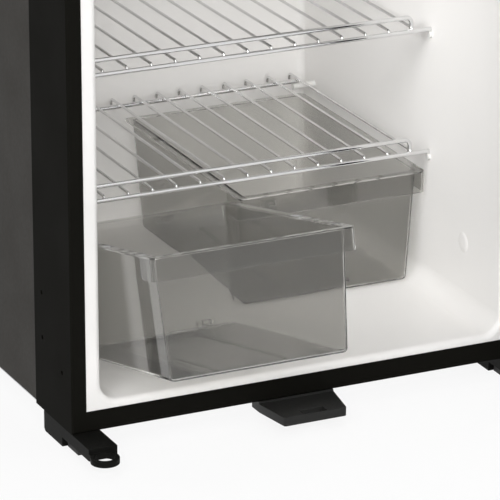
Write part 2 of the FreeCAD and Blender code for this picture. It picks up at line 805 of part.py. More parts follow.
def bin_outline(x, inset, rear_inset, side_draft, front_draft, rear_draft, z, radius):
    half = BIN_WIDE / 2 - inset - side_draft
    front = behind(BIN_FRONT) + inset + front_draft
    rear = behind(BIN_FRONT + BIN_DEPTH) - rear_inset - rear_draft
    return rounded_outline(x - half, x + half, front, rear, z, radius)


def bin_body(x, wall):
    """Tapered tub, smaller by a wall on every side."""
    low = FLOOR_Z + BIN_LIFT + wall
    top = FLOOR_Z + BIN_LIFT + BIN_HIGH
    share = wall / BIN_HIGH
    foot = bin_outline(x, BIN_RIM + wall, BIN_REAR_RIM + wall, BIN_SIDE_DRAFT * (1 - share),
                       BIN_FRONT_DRAFT * (1 - share), BIN_REAR_DRAFT * (1 - share), low, BIN_CORNER_R - wall)
    rim = bin_outline(x, BIN_RIM + wall, BIN_REAR_RIM + wall, 0, 0, 0, top, BIN_CORNER_R - wall)
    body = Part.makeLoft([foot, rim], True, True)
    return body.makeFillet(BIN_FLOOR_R - wall, edges_on(body, ALONG_Z, low))


def bin_band(x):
    """Flat rim all round, with a grip band turned down along the front and round the corners."""
    top = FLOOR_Z + BIN_LIFT + BIN_HIGH
    radius = BIN_CORNER_R
    outer = Part.Face(bin_outline(x, 0, 0, 0, 0, 0, top - BAND_HIGH, radius)).extrude(V(0, 0, BAND_HIGH))
    inner = Part.Face(bin_outline(x, BIN_WALL, BIN_WALL, 0, 0, 0, top - BAND_HIGH, radius - BIN_WALL))
    inner = inner.extrude(V(0, 0, BAND_HIGH - BIN_WALL))
    shell = outer.cut(inner)
    edge = behind(BIN_FRONT) + BAND_RETURN
    below = box(x - BIN_WIDE, x + BIN_WIDE, edge, behind(BIN_FRONT + 2 * BIN_DEPTH), top - 2 * BAND_HIGH,
                top - BIN_WALL)
    shell = shell.cut(below)
    ends = []
    for corner in edges_along(shell, ALONG_X):
        middle = corner.CenterOfMass
        if abs(middle.y - edge) < 0.01 and abs(middle.z - top + BAND_HIGH) < 0.01:
            ends.append(corner)
    return shell.makeFillet(BAND_R, ends)


def heel_places(x):
    return [x + side * HEEL_X for side in (-1, 1)]


def heel_line(x, half):
    y = behind(HEEL_BACK)
    z = FLOOR_Z + HEEL_UP
    return V(x - half, y, z), V(x + half, y, z)


def stored_bin(x):
    inside = bin_body(x, BIN_WALL)
    cover = inside.BoundBox
    mouth = bin_outline(x, BIN_RIM + BIN_WALL, BIN_REAR_RIM + BIN_WALL, 0, 0, 0, cover.ZMax - BIN_WALL - OVER,
                        BIN_CORNER_R - BIN_WALL)
    mouth = Part.Face(mouth).extrude(V(0, 0, BIN_WALL + 2 * OVER))
    extras = [bin_band(x)]
    rear = behind(BIN_FRONT + BIN_DEPTH) - BIN_REAR_RIM - BIN_REAR_DRAFT
    front = behind(BIN_FRONT) + BIN_RIM + BIN_FRONT_DRAFT
    low = FLOOR_Z + BIN_LIFT
    for side in (-1, 1):
        middle = x + side * SKID_X
        extras.append(box(middle - SKID_WIDE / 2, middle + SKID_WIDE / 2, front + SKID_INSET,
                          rear - SKID_INSET, FLOOR_Z + SEAT_GAP, low + BIN_WALL / 2))
    for place in heel_places(x):
        half = HEEL_LUG_WIDE / 2
        axis_z = FLOOR_Z + HEEL_UP
        lug = box(place - half, place + half, rear - BIN_FLOOR_R, behind(HEEL_BACK), axis_z - HEEL_LUG_R,
                  axis_z + HEEL_LUG_R)
        extras.append(lug)
        extras.append(rod(HEEL_LUG_R, *heel_line(place, half)))
        extras.append(rod(HEEL_PIN_R, *heel_line(place, half + GLIDE_SIDE_GAP + GLIDE_CHEEK)))
    return bin_body(x, 0).fuse(extras).cut([inside, mouth]).removeSplitter()


def bin_glides(x):
    """Two small saddles under the bin's heel that slide on the floor and hold its heel pins."""
    glides = []
    for place in heel_places(x):
        inner = HEEL_LUG_WIDE / 2 + GLIDE_SIDE_GAP
        outer = inner + GLIDE_CHEEK
        y = behind(HEEL_BACK)
        low = FLOOR_Z + SEAT_GAP
        top = FLOOR_Z + HEEL_UP + HEEL_LUG_R
        sole = box(place - outer, place + outer, y - GLIDE_FRONT, y + GLIDE_REAR, low, low + GLIDE_SOLE)
        cheeks = []
        for side in (-1, 1):
            a, b = sorted((place + side * inner, place + side * outer))
            cheeks.append(box(a, b, y - HEEL_LUG_R, y + HEEL_LUG_R, low, top))
        bore = rod(HEEL_PIN_R + PIN_GAP, *heel_line(place, outer + OVER))
        glides.append(sole.fuse(cheeks).cut(bore))
    return glides


def drawn(shape):
    """Moved from its stored place to the drawn-out place."""
    return shape.translated(V(0, -BIN_PULL, 0))


def left_bin():
    """Drawn out of its lane and tipped up at the front about its heel pins."""
    shape = stored_bin(-BIN_X)
    shape.rotate(V(0, behind(HEEL_BACK), FLOOR_Z + HEEL_UP), ALONG_X, -BIN_TIP)
    return drawn(shape)


def left_bin_glides():
    return [drawn(glide) for glide in bin_glides(-BIN_X)]


# Freezer box

def evaporator_box():
    outer = box(-EVAP_HALF, EVAP_HALF, behind(EVAP_FRONT), behind(EVAP_BACK), EVAP_LOW, EVAP_TOP)
    outer = outer.makeFillet(EVAP_R, edges_along(outer, ALONG_Y))
    half = EVAP_HALF - EVAP_WALL
    inner = box(-half, half, behind(EVAP_FRONT) - OVER, behind(EVAP_BACK) - EVAP_WALL, EVAP_LOW + EVAP_WALL,
                EVAP_TOP - EVAP_WALL)
    inner = inner.makeFillet(EVAP_R - EVAP_WALL, edges_along(inner, ALONG_Y))
    return outer.cut(inner)


def evaporator_hangers():
    hangers = []
    for x in (-HANGER_X, HANGER_X):
        for depth in (HANGER_FRONT, HANGER_BACK):
            hangers.append(rod(HANGER_R, V(x, behind(depth), EVAP_TOP), V(x, behind(depth), CEILING_Z)))
    return hangers


def flap_axis():
    """X and Y of the flap's hinge line."""
    x = -EVAP_HALF - FLAP_FRAME_PROUD + FLAP_PIN_IN
    y = behind(EVAP_FRONT) - FLAP_FRAME_THICK - FLAP_GAP - FLAP_THICK / 2
    return x, y


def flap_frame():
    """Moulded surround on the front of the freezer box, with ears for the flap's pins."""
    half = EVAP_HALF + FLAP_FRAME_PROUD
    low = EVAP_LOW - FLAP_FRAME_PROUD
    top = EVAP_TOP + FLAP_FRAME_PROUD
    front = behind(EVAP_FRONT) - FLAP_FRAME_THICK
    ring = box(-half, half, front, behind(EVAP_FRONT), low, top)
    hole_half = half - FLAP_FRAME_BAND
    hole = box(-hole_half, hole_half, front - OVER, behind(EVAP_FRONT) + OVER, low + FLAP_FRAME_BAND,
               top - FLAP_FRAME_BAND)
    x, y = flap_axis()
    ears = []
    for z in (low, top - FLAP_EAR):
        ears.append(box(-half, x + FLAP_PIN_IN, y - FLAP_THICK / 2, front, z, z + FLAP_EAR))
    pins = rod(FLAP_PIN_R + PIN_GAP, V(x, y, low - OVER), V(x, y, top + OVER))
    return ring.fuse(ears).cut([hole, pins])


def freezer_flap():
    x, y = flap_axis()
    low = EVAP_LOW - FLAP_FRAME_PROUD + FLAP_EAR + WALL_GAP
    top = EVAP_TOP + FLAP_FRAME_PROUD - FLAP_EAR - WALL_GAP
    right = EVAP_HALF + FLAP_FRAME_PROUD - FLAP_GAP
    half = FLAP_THICK / 2
    panel = box(x, right, y - half, y + half, low, top)
    panel = panel.makeFillet(half * 0.6, edges_on(panel, ALONG_X, right))
    knuckle = rod(half, V(x, y, low), V(x, y, top))
    pin = rod(FLAP_PIN_R, V(x, y, low - FLAP_EAR), V(x, y, top + FLAP_EAR))
    middle = (low + top) / 2
    grip = box(right - 3 * FLAP_GRIP_WIDE, right - 2 * FLAP_GRIP_WIDE, y - half - FLAP_GRIP_PROUD,
               y - half + OVER, middle - FLAP_GRIP_HIGH / 2, middle + FLAP_GRIP_HIGH / 2)
    grip = grip.makeFillet(FLAP_GRIP_WIDE / 3, edges_on(grip, ALONG_Y, y - half - FLAP_GRIP_PROUD))
    return panel.fuse([knuckle, pin, grip]).removeSplitter()


def tray_rails():
    rails = []
    web = TRAY_HALF + TRAY_FLANGE + TRAY_SIDE_GAP
    low = EVAP_LOW - TRAY_RAIL_DROP
    start, end = behind(EVAP_FRONT), behind(TRAY_BACK) + TRAY_WALL
    upright = box(web, web + TRAY_RAIL, start, end, low, EVAP_LOW)
    ledge = box(web - TRAY_RAIL_LEDGE, web, start, end, low, low + TRAY_RAIL)
    right = upright.fuse(ledge).removeSplitter()
    return [right, mirrored(right)]


def drip_tray():
    flange_low = EVAP_LOW - TRAY_RAIL_DROP + TRAY_RAIL + SEAT_GAP
    top = flange_low + TRAY_WALL
    low = top - TRAY_HIGH
    front, back = behind(TRAY_FRONT), behind(TRAY_BACK)
    outer = box(-TRAY_HALF, TRAY_HALF, front, back, low, top)
    outer = outer.makeFillet(TRAY_R, edges_along(outer, ALONG_Z))
    half = TRAY_HALF - TRAY_WALL
    inner = box(-half, half, front + TRAY_WALL, back - TRAY_WALL, low + TRAY_WALL, top + OVER)
    inner = inner.makeFillet(TRAY_R - TRAY_WALL, edges_along(inner, ALONG_Z))
    wide = TRAY_HALF + TRAY_FLANGE
    flange = box(-wide, wide, front, back, flange_low, top)
    return outer.fuse(flange).cut(inner).removeSplitter()


# Control housing

def control_face():
    return INNER_HALF - CONTROL_THICK


def knob_place():
    return V(control_face(), behind((CONTROL_FRONT + CONTROL_BACK) / 2), CONTROL_LOW + KNOB_UP)


def lens_box(thick):
    face = control_face()
    y = behind((CONTROL_FRONT + CONTROL_BACK) / 2)
    z = CONTROL_LOW + LENS_UP
    lens = box(face - thick / 2, face + thick / 2, y - LENS_WIDE / 2, y + LENS_WIDE / 2, z - LENS_HIGH / 2,
               z + LENS_HIGH / 2)
    return lens.makeFillet(LENS_R, edges_along(lens, ALONG_X))


def control_housing():
    face = control_face()
    body = box(face, INNER_HALF, behind(CONTROL_FRONT), behind(CONTROL_BACK), CONTROL_LOW,
               CONTROL_LOW + CONTROL_HIGH)
    body = body.makeFillet(CONTROL_R, edges_on(body, ALONG_X, face))
    place = knob_place()
    bore = rod(KNOB_SHAFT_R + PIN_GAP, place - ALONG_X * OVER, place + ALONG_X * (KNOB_SHAFT + OVER))
    return body.cut([bore, lens_box(LENS_THICK)])


def lamp_lens():
    return lens_box(LENS_THICK)


def thermostat_knob():
    face = knob_place() - ALONG_X * KNOB_GAP
    cap = face - ALONG_X * KNOB_THICK
    body = Part.makeCone(KNOB_R, KNOB_R * 0.9, KNOB_THICK, face, ALONG_X * -1)
    body = body.makeFillet(KNOB_THICK / 6, edges_on(body, ALONG_X, cap.x))
    ridge = box(cap.x - KNOB_RIDGE, face.x - KNOB_THICK / 2, face.y - KNOB_RIDGE / 2, face.y + KNOB_RIDGE / 2,
                face.z - KNOB_R * 0.8, face.z + KNOB_R * 0.8)
    ridge = ridge.makeFillet(KNOB_RIDGE / 3, edges_on(ridge, ALONG_X, cap.x - KNOB_RIDGE))
    shaft = rod(KNOB_SHAFT_R, cap, face + ALONG_X * (KNOB_GAP + KNOB_SHAFT))
    return body.fuse([ridge, shaft]).removeSplitter()


# Door, modelled shut and then swung open about its hinge line

def swung(shape):
    shape.rotate(V(HINGE_X, HINGE_Y, 0), ALONG_Z, DOOR_OPEN)
    return shape


def bush_space(radius, low, high):
    return rod(radius, V(HINGE_X, HINGE_Y, low), V(HINGE_X, HINGE_Y, high))


def bolt_box(grow, low, high):
    y = FRONT - SLOT_AHEAD
    return box(TAB_X - BOLT_WIDE / 2 - grow, TAB_X + BOLT_WIDE / 2 + grow, y - BOLT_DEEP / 2 - grow,
               y + BOLT_DEEP / 2 + grow, low, high)


def neck_slot():
    """Slot in the door's face that the bolt's neck slides in."""
    low = DOOR_LOW + NECK_UP - BOLT_TRAVEL - BOLT_GAP
    high = DOOR_LOW + NECK_UP + NECK_HIGH + BOLT_TUCK + BOLT_GAP
    half = NECK_WIDE / 2 + BOLT_GAP
    return box(TAB_X - half, TAB_X + half, DOOR_FACE - OVER, FRONT - SLOT_AHEAD, low, high)


def door_cuts():
    """Room for the hinge bushes, the bolt's guide and its neck."""
    return [bush_space(BUSH_R + PIN_GAP, DOOR_LOW - OVER, DOOR_LOW + BUSH_LONG),
            bush_space(BUSH_R + PIN_GAP, DOOR_TOP - BUSH_LONG, DOOR_TOP + OVER),
            bolt_box(BOLT_GAP + GUIDE_WALL, DOOR_LOW + EDGE_WALL, DOOR_LOW + EDGE_WALL + GUIDE_LONG),
            bolt_box(BOLT_GAP, DOOR_LOW - OVER, DOOR_LOW + EDGE_WALL + OVER),
            neck_slot()]


def door_edge_profile():
    body = box(-HALF, HALF, DOOR_FACE, DOOR_BACK, DOOR_LOW, DOOR_TOP)
    body = body.makeFillet(EDGE_R, edges_on(body, ALONG_Y, DOOR_FACE))
    half = HALF - EDGE_WALL
    hollow = box(-half, half, DOOR_FACE + EDGE_WALL, DOOR_BACK + OVER, DOOR_LOW + EDGE_WALL,
                 DOOR_TOP - EDGE_WALL)
    clear = HALF - EDGE_BEZEL
    window = box(-clear, clear, DOOR_FACE - OVER, DOOR_FACE + EDGE_WALL + OVER, DOOR_LOW + EDGE_BEZEL,
                 DOOR_TOP - EDGE_BEZEL)
    return swung(body.cut([hollow, window] + door_cuts()))


def door_skin():
    half = HALF - EDGE_WALL - FIT
    start = DOOR_FACE + EDGE_WALL
    skin = box(-half, half, start, start + SKIN_THICK, DOOR_LOW + EDGE_WALL + FIT, DOOR_TOP - EDGE_WALL - FIT)
    return swung(skin.cut([neck_slot()] + door_cuts()[:2]))


def door_foam():
    half = HALF - EDGE_WALL
    foam = box(-half, half, DOOR_FACE + EDGE_WALL + SKIN_THICK, DOOR_BACK - DOOR_LINER, DOOR_LOW + EDGE_WALL,
               DOOR_TOP - EDGE_WALL)
    return swung(foam.cut(door_cuts()))


def door_liner():
    """Inner panel with two upright ribs that carry the door's trays."""
    half = HALF - EDGE_WALL - FIT
    panel = box(-half, half, DOOR_BACK - DOOR_LINER, DOOR_BACK, DOOR_LOW + EDGE_WALL + FIT,
                DOOR_TOP - EDGE_WALL - FIT)
    panel = panel.cut(door_cuts()[:2])
    parts = []
    rib = box(RIB_IN, RIB_IN + RIB_WIDE, DOOR_BACK - DOOR_LINER / 2, FRONT + RIB_REACH, RIB_LOW, RIB_TOP)
    rib = rib.makeFillet(RIB_R, edges_on(rib, ALONG_Y, FRONT + RIB_REACH))
    parts += [rib, mirrored(rib)]
    for z in (BOTTLE_Z, UPPER_TRAY_Z):
        top = z - SEAT_GAP
        ledge = box(RIB_IN - LEDGE_WIDE, RIB_IN + OVER, DOOR_BACK - DOOR_LINER / 2,
                    FRONT + RIB_REACH - 2 * RIB_R, top - LEDGE_THICK, top)
        parts += [ledge, mirrored(ledge)]
    return swung(panel.fuse(parts).removeSplitter())


def door_gasket():
    half = HALF - GASKET_IN
    low, top = DOOR_LOW + GASKET_IN, DOOR_TOP - GASKET_IN
    ring = box(-half, half, DOOR_BACK, FRONT - GASKET_SQUEEZE, low, top)
    ring = ring.makeFillet(GASKET_R, edges_along(ring, ALONG_Y))
    inner = half - GASKET_WIDE
    hole = box(-inner, inner, DOOR_BACK - OVER, FRONT + OVER, low + GASKET_WIDE, top - GASKET_WIDE)
    ring = ring.cut(hole)
    return swung(ring.makeFillet(GASKET_R, edges_on(ring, ALONG_Y, FRONT - GASKET_SQUEEZE)))


def door_tray(z, high, reach):
    half = RIB_IN - TRAY_SIDE_GAP
    start, end = DOOR_BACK + SEAT_GAP, FRONT + reach
    outer = box(-half, half, start, end, z, z + high)
    outer = outer.makeFillet(DOOR_TRAY_R, [edge for edge in edges_along(outer, ALONG_Z)
                                           if edge.CenterOfMass.y > FRONT])
    wall = DOOR_TRAY_WALL
    inner = box(-half + wall, half - wall, start + wall, end - wall, z + wall, z + high + OVER)
    inner = inner.makeFillet(DOOR_TRAY_R - wall, [edge for edge in edges_along(inner, ALONG_Z)
                                                  if edge.CenterOfMass.y > FRONT])
    return swung(outer.cut(inner))


def door_bottle_shelf():
    return door_tray(BOTTLE_Z, BOTTLE_HIGH, BOTTLE_REACH)


def door_upper_shelf():
    return door_tray(UPPER_TRAY_Z, UPPER_TRAY_HIGH, UPPER_TRAY_REACH)


def bottle_rail():
    """Bent wire that keeps tall bottles in, held by the ends of the ribs."""
    z = BOTTLE_Z + GUARD_UP
    side = RIB_IN + RIB_WIDE / 2
    start = FRONT + RIB_REACH
    end = FRONT + BOTTLE_REACH - GUARD_R
    return swung(wire((V(-side, start, z), V(-side, end, z), V(side, end, z), V(side, start, z)),
                      GUARD_R, GUARD_BEND))


def door_bushes():
    bushes = []
    for low in (DOOR_LOW, DOOR_TOP - BUSH_LONG):
        bore = bush_space(PIN_R + PIN_GAP, low - OVER, low + BUSH_LONG + OVER)
        bushes.append(swung(bush_space(BUSH_R, low, low + BUSH_LONG).cut(bore)))
    return bushes


def door_handle():
    """Upright bar on two posts at the free side of the door."""
    x = -HALF + HANDLE_IN
    y = DOOR_FACE - HANDLE_OUT
    bar = rod(HANDLE_R, V(x, y, HANDLE_LOW), V(x, y, HANDLE_LOW + HANDLE_LONG))
    bar = bar.makeFillet(HANDLE_R * 0.8, edges_on(bar, ALONG_Z, HANDLE_LOW)
                         + edges_on(bar, ALONG_Z, HANDLE_LOW + HANDLE_LONG))
    posts = []
    for z in (HANDLE_LOW + HANDLE_POST_IN, HANDLE_LOW + HANDLE_LONG - HANDLE_POST_IN):
        posts.append(rod(HANDLE_POST_R, V(x, y, z), V(x, DOOR_FACE + EDGE_WALL, z)))
    return swung(bar.fuse(posts))


def bolt_guide():
    low = DOOR_LOW + EDGE_WALL
    sleeve = bolt_box(BOLT_GAP + GUIDE_WALL, low, low + GUIDE_LONG)
    return swung(sleeve.cut([bolt_box(BOLT_GAP, low - OVER, low + GUIDE_LONG + OVER), neck_slot()]))


def door_bolt():
    """Flat bolt with a thumb pad on the door's face, drawn up clear of the catch tab."""
    low = DOOR_LOW + BOLT_TUCK
    blade = bolt_box(0, low, low + BOLT_LONG)
    neck_low = DOOR_LOW + NECK_UP
    neck = box(TAB_X - NECK_WIDE / 2, TAB_X + NECK_WIDE / 2, DOOR_FACE - THUMB_GAP - OVER, FRONT - SLOT_AHEAD,
               neck_low, neck_low + NECK_HIGH)
    middle = neck_low + NECK_HIGH / 2
    pad = box(TAB_X - THUMB_WIDE / 2, TAB_X + THUMB_WIDE / 2, DOOR_FACE - THUMB_GAP - THUMB_THICK,
              DOOR_FACE - THUMB_GAP, middle - THUMB_HIGH / 2, middle + THUMB_HIGH / 2)
    pad = pad.makeFillet(THUMB_THICK / 3, edges_on(pad, ALONG_Y, DOOR_FACE - THUMB_GAP - THUMB_THICK))
    return swung(blade.fuse([neck, pad]).removeSplitter())


# Machine bay

def compressor_plate_low():
    return SHEET + BASE_RAIL + GROMMET_HIGH


def compressor():
    """Welded steel pot on a foot plate."""
    low = compressor_plate_low()
    top = low + COMPRESSOR_HIGH
    waist = low + COMPRESSOR_HIGH / 2
    half = COMPRESSOR_SEAM_HIGH / 2
    pot = rod(COMPRESSOR_R, V(0, 0, low), V(0, 0, top))
    pot = pot.makeFillet(COMPRESSOR_DOME, edges_on(pot, ALONG_Z, low) + edges_on(pot, ALONG_Z, top))
    seam = rod(COMPRESSOR_R + COMPRESSOR_SEAM, V(0, 0, waist - half), V(0, 0, waist + half))
    plate = box(-PLATE_HALF_X, PLATE_HALF_X, -PLATE_HALF_Y, PLATE_HALF_Y, low, low + PLATE_THICK)
    plate = plate.makeFillet(PLATE_R, edges_along(plate, ALONG_Z))
    stubs = [rod(STUB_R, V(x, 0, waist), V(x, 0, STUB_TOP)) for x in (-STUB_X, STUB_X)]
    return pot.fuse([seam, plate] + stubs).translated(V(COMPRESSOR_X, MACHINE_Y, 0))


def compressor_rail():
    x0, x1 = COMPRESSOR_X - BASE_RAIL_HALF_X, COMPRESSOR_X + BASE_RAIL_HALF_X
    y0, y1 = MACHINE_Y - BASE_RAIL_HALF_Y, MACHINE_Y + BASE_RAIL_HALF_Y
    tray = box(x0, x1, y0, y1, SHEET, SHEET + BASE_RAIL_LIP)
    return tray.cut(box(x0 - OVER, x1 + OVER, y0 + BASE_RAIL, y1 - BASE_RAIL, SHEET + BASE_RAIL, HEIGHT))


def compressor_grommets():
    rubber = []
    low = SHEET + BASE_RAIL
    for x in (COMPRESSOR_X - GROMMET_X, COMPRESSOR_X + GROMMET_X):
        for y in (MACHINE_Y - GROMMET_Y, MACHINE_Y + GROMMET_Y):
            post = rod(GROMMET_R, V(x, y, low), V(x, y, low + GROMMET_HIGH))
            groove = rod(GROMMET_R + OVER, V(x, y, low + GROMMET_HIGH * 0.4),
                         V(x, y, low + GROMMET_HIGH * 0.6))
            core = rod(GROMMET_R * 0.8, V(x, y, low), V(x, y, low + GROMMET_HIGH))
            rubber.append(post.cut(groove).fuse(core).removeSplitter())
    return rubber


def control_module():
    """Electronic unit against the compressor's side, with cooling fins."""
    x = COMPRESSOR_X + COMPRESSOR_R + COMPRESSOR_SEAM + SEAT_GAP
    y0, y1 = MACHINE_Y - MODULE_HALF_Y, MACHINE_Y + MODULE_HALF_Y
    body = box(x, x + MODULE_THICK, y0, y1, MODULE_LOW, MODULE_LOW + MODULE_HIGH)
    body = body.makeFillet(MODULE_R, edges_along(body, ALONG_X))
    fins = []
    room = 2 * MODULE_HALF_Y - 2 * MODULE_R - MODULE_FIN_THICK
    for index in range(MODULE_FINS):
        y = y0 + MODULE_R + room * index / (MODULE_FINS - 1)
        fins.append(box(x + MODULE_THICK - OVER, x + MODULE_THICK + MODULE_FIN_OUT, y, y + MODULE_FIN_THICK,
                        MODULE_LOW + MODULE_R, MODULE_LOW + MODULE_HIGH - MODULE_R))
    return body.fuse(fins)


def fan_middle():
    return V(FAN_X, MACHINE_Y, SHEET + FAN_HALF)


def fan_housing():
    """Square duct with a round bore, and three arms that carry the motor."""
    c = fan_middle()
    far = FAN_X + FAN_THICK
    frame = box(FAN_X, far, c.y - FAN_HALF, c.y + FAN_HALF, SHEET, SHEET + 2 * FAN_HALF)
    frame = frame.makeFillet(FAN_ARM, edges_along(frame, ALONG_X))
    bore = rod(FAN_BORE_R, V(FAN_X - OVER, c.y, c.z), V(far + OVER, c.y, c.z))
    hub = rod(FAN_HUB_R, V(far - FAN_WEB, c.y, c.z), V(far, c.y, c.z))
    arms = []
    for index in range(FAN_ARMS):
        arm = box(far - FAN_WEB, far, c.y - FAN_ARM / 2, c.y + FAN_ARM / 2, c.z, c.z + FAN_BORE_R + OVER)
        arm.rotate(c, ALONG_X, 360.0 * index / FAN_ARMS)
        arms.append(arm)
    shaft = rod(FAN_SHAFT_R + PIN_GAP, V(far - 2 * FAN_WEB, c.y, c.z), V(far + OVER, c.y, c.z))
    return frame.cut(bore).fuse([hub] + arms).cut(shaft)


def fan_rotor():
    c = fan_middle()
    start = FAN_X + FAN_THICK - FAN_WEB - ROTOR_LONG - WALL_GAP
    hub = rod(ROTOR_HUB_R, V(start, c.y, c.z), V(start + ROTOR_LONG, c.y, c.z))
    hub = hub.makeFillet(ROTOR_LONG / 6, edges_on(hub, ALONG_X, start))
    sleeve = rod(ROTOR_R, V(start, c.y, c.z), V(start + ROTOR_LONG, c.y, c.z))
    blades = []
    middle = V(start + ROTOR_LONG / 2, c.y, c.z)
    for index in range(ROTOR_BLADES):
        blade = box(middle.x - ROTOR_LONG, middle.x + ROTOR_LONG, c.y - ROTOR_BLADE / 2,
                    c.y + ROTOR_BLADE / 2, c.z + ROTOR_HUB_R / 2, c.z + ROTOR_R + OVER)
        blade.rotate(middle, ALONG_Z, ROTOR_PITCH)
        blade.rotate(middle, ALONG_X, 360.0 * index / ROTOR_BLADES)
        blades.append(blade.common(sleeve))
    far = FAN_X + FAN_THICK
    shaft = rod(FAN_SHAFT_R, middle, V(far, c.y, c.z))
    return hub.fuse(blades + [shaft])


def coil_top():
    return COIL_LOW + (COIL_RUNS - 1) * COIL_PITCH


def condenser_coil():
    """One tube folded to and fro, from its inlet at the top to the drier at the foot."""
    edges = []
    for index in range(COIL_RUNS):
        z = coil_top() - index * COIL_PITCH
        ends = (COIL_LEFT, COIL_RIGHT) if index % 2 == 0 else (COIL_RIGHT, COIL_LEFT)
        edges.append(Part.LineSegment(V(ends[0], MACHINE_Y, z), V(ends[1], MACHINE_Y, z)).toShape())
        if index < COIL_RUNS - 1:
            out = COIL_PITCH / 2 if index % 2 == 0 else -COIL_PITCH / 2
            edges.append(Part.Arc(V(ends[1], MACHINE_Y, z), V(ends[1] + out, MACHINE_Y, z - COIL_PITCH / 2),
                                  V(ends[1], MACHINE_Y, z - COIL_PITCH)).toShape())
    start = V(COIL_LEFT, MACHINE_Y, coil_top())
    ring = Part.Wire(Part.makeCircle(TUBE_R, start, ALONG_X))
    return Part.Wire(edges).makePipeShell([ring], True, False)


def condenser_wires():
    """Upright wires on both faces of the coil, which stand on the base pan."""
    wires = []
    room = COIL_RIGHT - COIL_LEFT - 2 * COIL_PITCH / 2
    for side in (-1, 1):
        y = MACHINE_Y + side * (TUBE_R + COIL_WIRE_R + PIN_GAP)
        for index in range(COIL_WIRES):
            x = COIL_LEFT + COIL_PITCH / 2 + room * index / (COIL_WIRES - 1)
            wires.append(rod(COIL_WIRE_R, V(x, y, SHEET), V(x, y, coil_top() + COIL_WIRE_UP)))
    return wires


def filter_drier():
    low, top = DRIER_LOW, DRIER_LOW + DRIER_LONG
    profile = Part.makePolygon([V(0, 0, low), V(TUBE_R + OVER, 0, low), V(DRIER_R, 0, low + DRIER_TAPER),
                                V(DRIER_R, 0, top - DRIER_TAPER), V(TUBE_R + OVER, 0, top), V(0, 0, top),
                                V(0, 0, low)])
    return Part.Face(profile).revolve(V(0, 0, 0), ALONG_Z, 360).translated(V(DRIER_X, MACHINE_Y, 0))


def discharge_pipe():
    x = COMPRESSOR_X + STUB_X
    down = COIL_LEFT - 2 * TUBE_BEND
    return wire((V(x, MACHINE_Y, STUB_TOP), V(x, MACHINE_Y, PIPE_RISE), V(down, MACHINE_Y, PIPE_RISE),
                 V(down, MACHINE_Y, coil_top()), V(COIL_LEFT, MACHINE_Y, coil_top())), TUBE_R, TUBE_BEND)


def liquid_pipe():
    return wire((V(COIL_RIGHT, MACHINE_Y, COIL_LOW), V(DRIER_X, MACHINE_Y, COIL_LOW),
                 V(DRIER_X, MACHINE_Y, DRIER_LOW)), TUBE_R, TUBE_BEND)


def suction_pipe():
    x = COMPRESSOR_X - STUB_X
    return wire((V(x, MACHINE_Y, STUB_TOP), V(x, MACHINE_Y, SUCTION_RISE),
                 V(x, behind(BAY_FRONT), SUCTION_RISE)), TUBE_R, TUBE_BEND)


def capillary_pipe():
    return wire((V(DRIER_X, MACHINE_Y, DRIER_LOW + DRIER_LONG), V(DRIER_X, MACHINE_Y, SUCTION_RISE),
                 V(DRIER_X, behind(BAY_FRONT), SUCTION_RISE)), CAPILLARY_R, TUBE_BEND)


def gland_line(start, end):
    return V(GLAND_X, start, GLAND_Z), V(GLAND_X, end, GLAND_Z)


def rear_guard():
    """Slotted sheet over the machine bay."""
    half = SHELL_HALF - SHEET - FIT
    plate = box(-half, half, REAR - 2 * SHEET, REAR - SHEET, SHEET, BAY_TOP - SHEET - FIT)
    cuts = [rod(GLAND_R + FIT / 2, *gland_line(REAR - DEPTH / 8, REAR + OVER))]
    room = 2 * (half - GUARD_SLOT_EDGE) + GUARD_SLOT_GAP
    step = room / GUARD_SLOT_COLUMNS
    wide = step - GUARD_SLOT_GAP
    for column in range(GUARD_SLOT_COLUMNS):
        x = (column - (GUARD_SLOT_COLUMNS - 1) / 2) * step
        for row in range(GUARD_SLOT_ROWS):
            z = GUARD_SLOT_LOW + row * GUARD_SLOT_PITCH
            cuts.append(box(x - wide / 2, x + wide / 2, REAR - 3 * SHEET, REAR + OVER,
                            z, z + GUARD_SLOT_HIGH))
    return plate.cut(cuts)


def power_gland():
    """Bare gland where the supply would enter."""
    face = REAR - SHEET
    nut = rod(GLAND_NUT_R, *gland_line(face, face + GLAND_NUT))
    nut = nut.makeChamfer(GLAND_NUT / 6, edges_on(nut, ALONG_Y, face + GLAND_NUT))
    body = rod(GLAND_R, *gland_line(face - GLAND_INSIDE, face))
    bore = rod(GLAND_BORE_R, *gland_line(face - GLAND_INSIDE - OVER, face + GLAND_NUT + OVER))
    return nut.fuse(body).cut(bore)


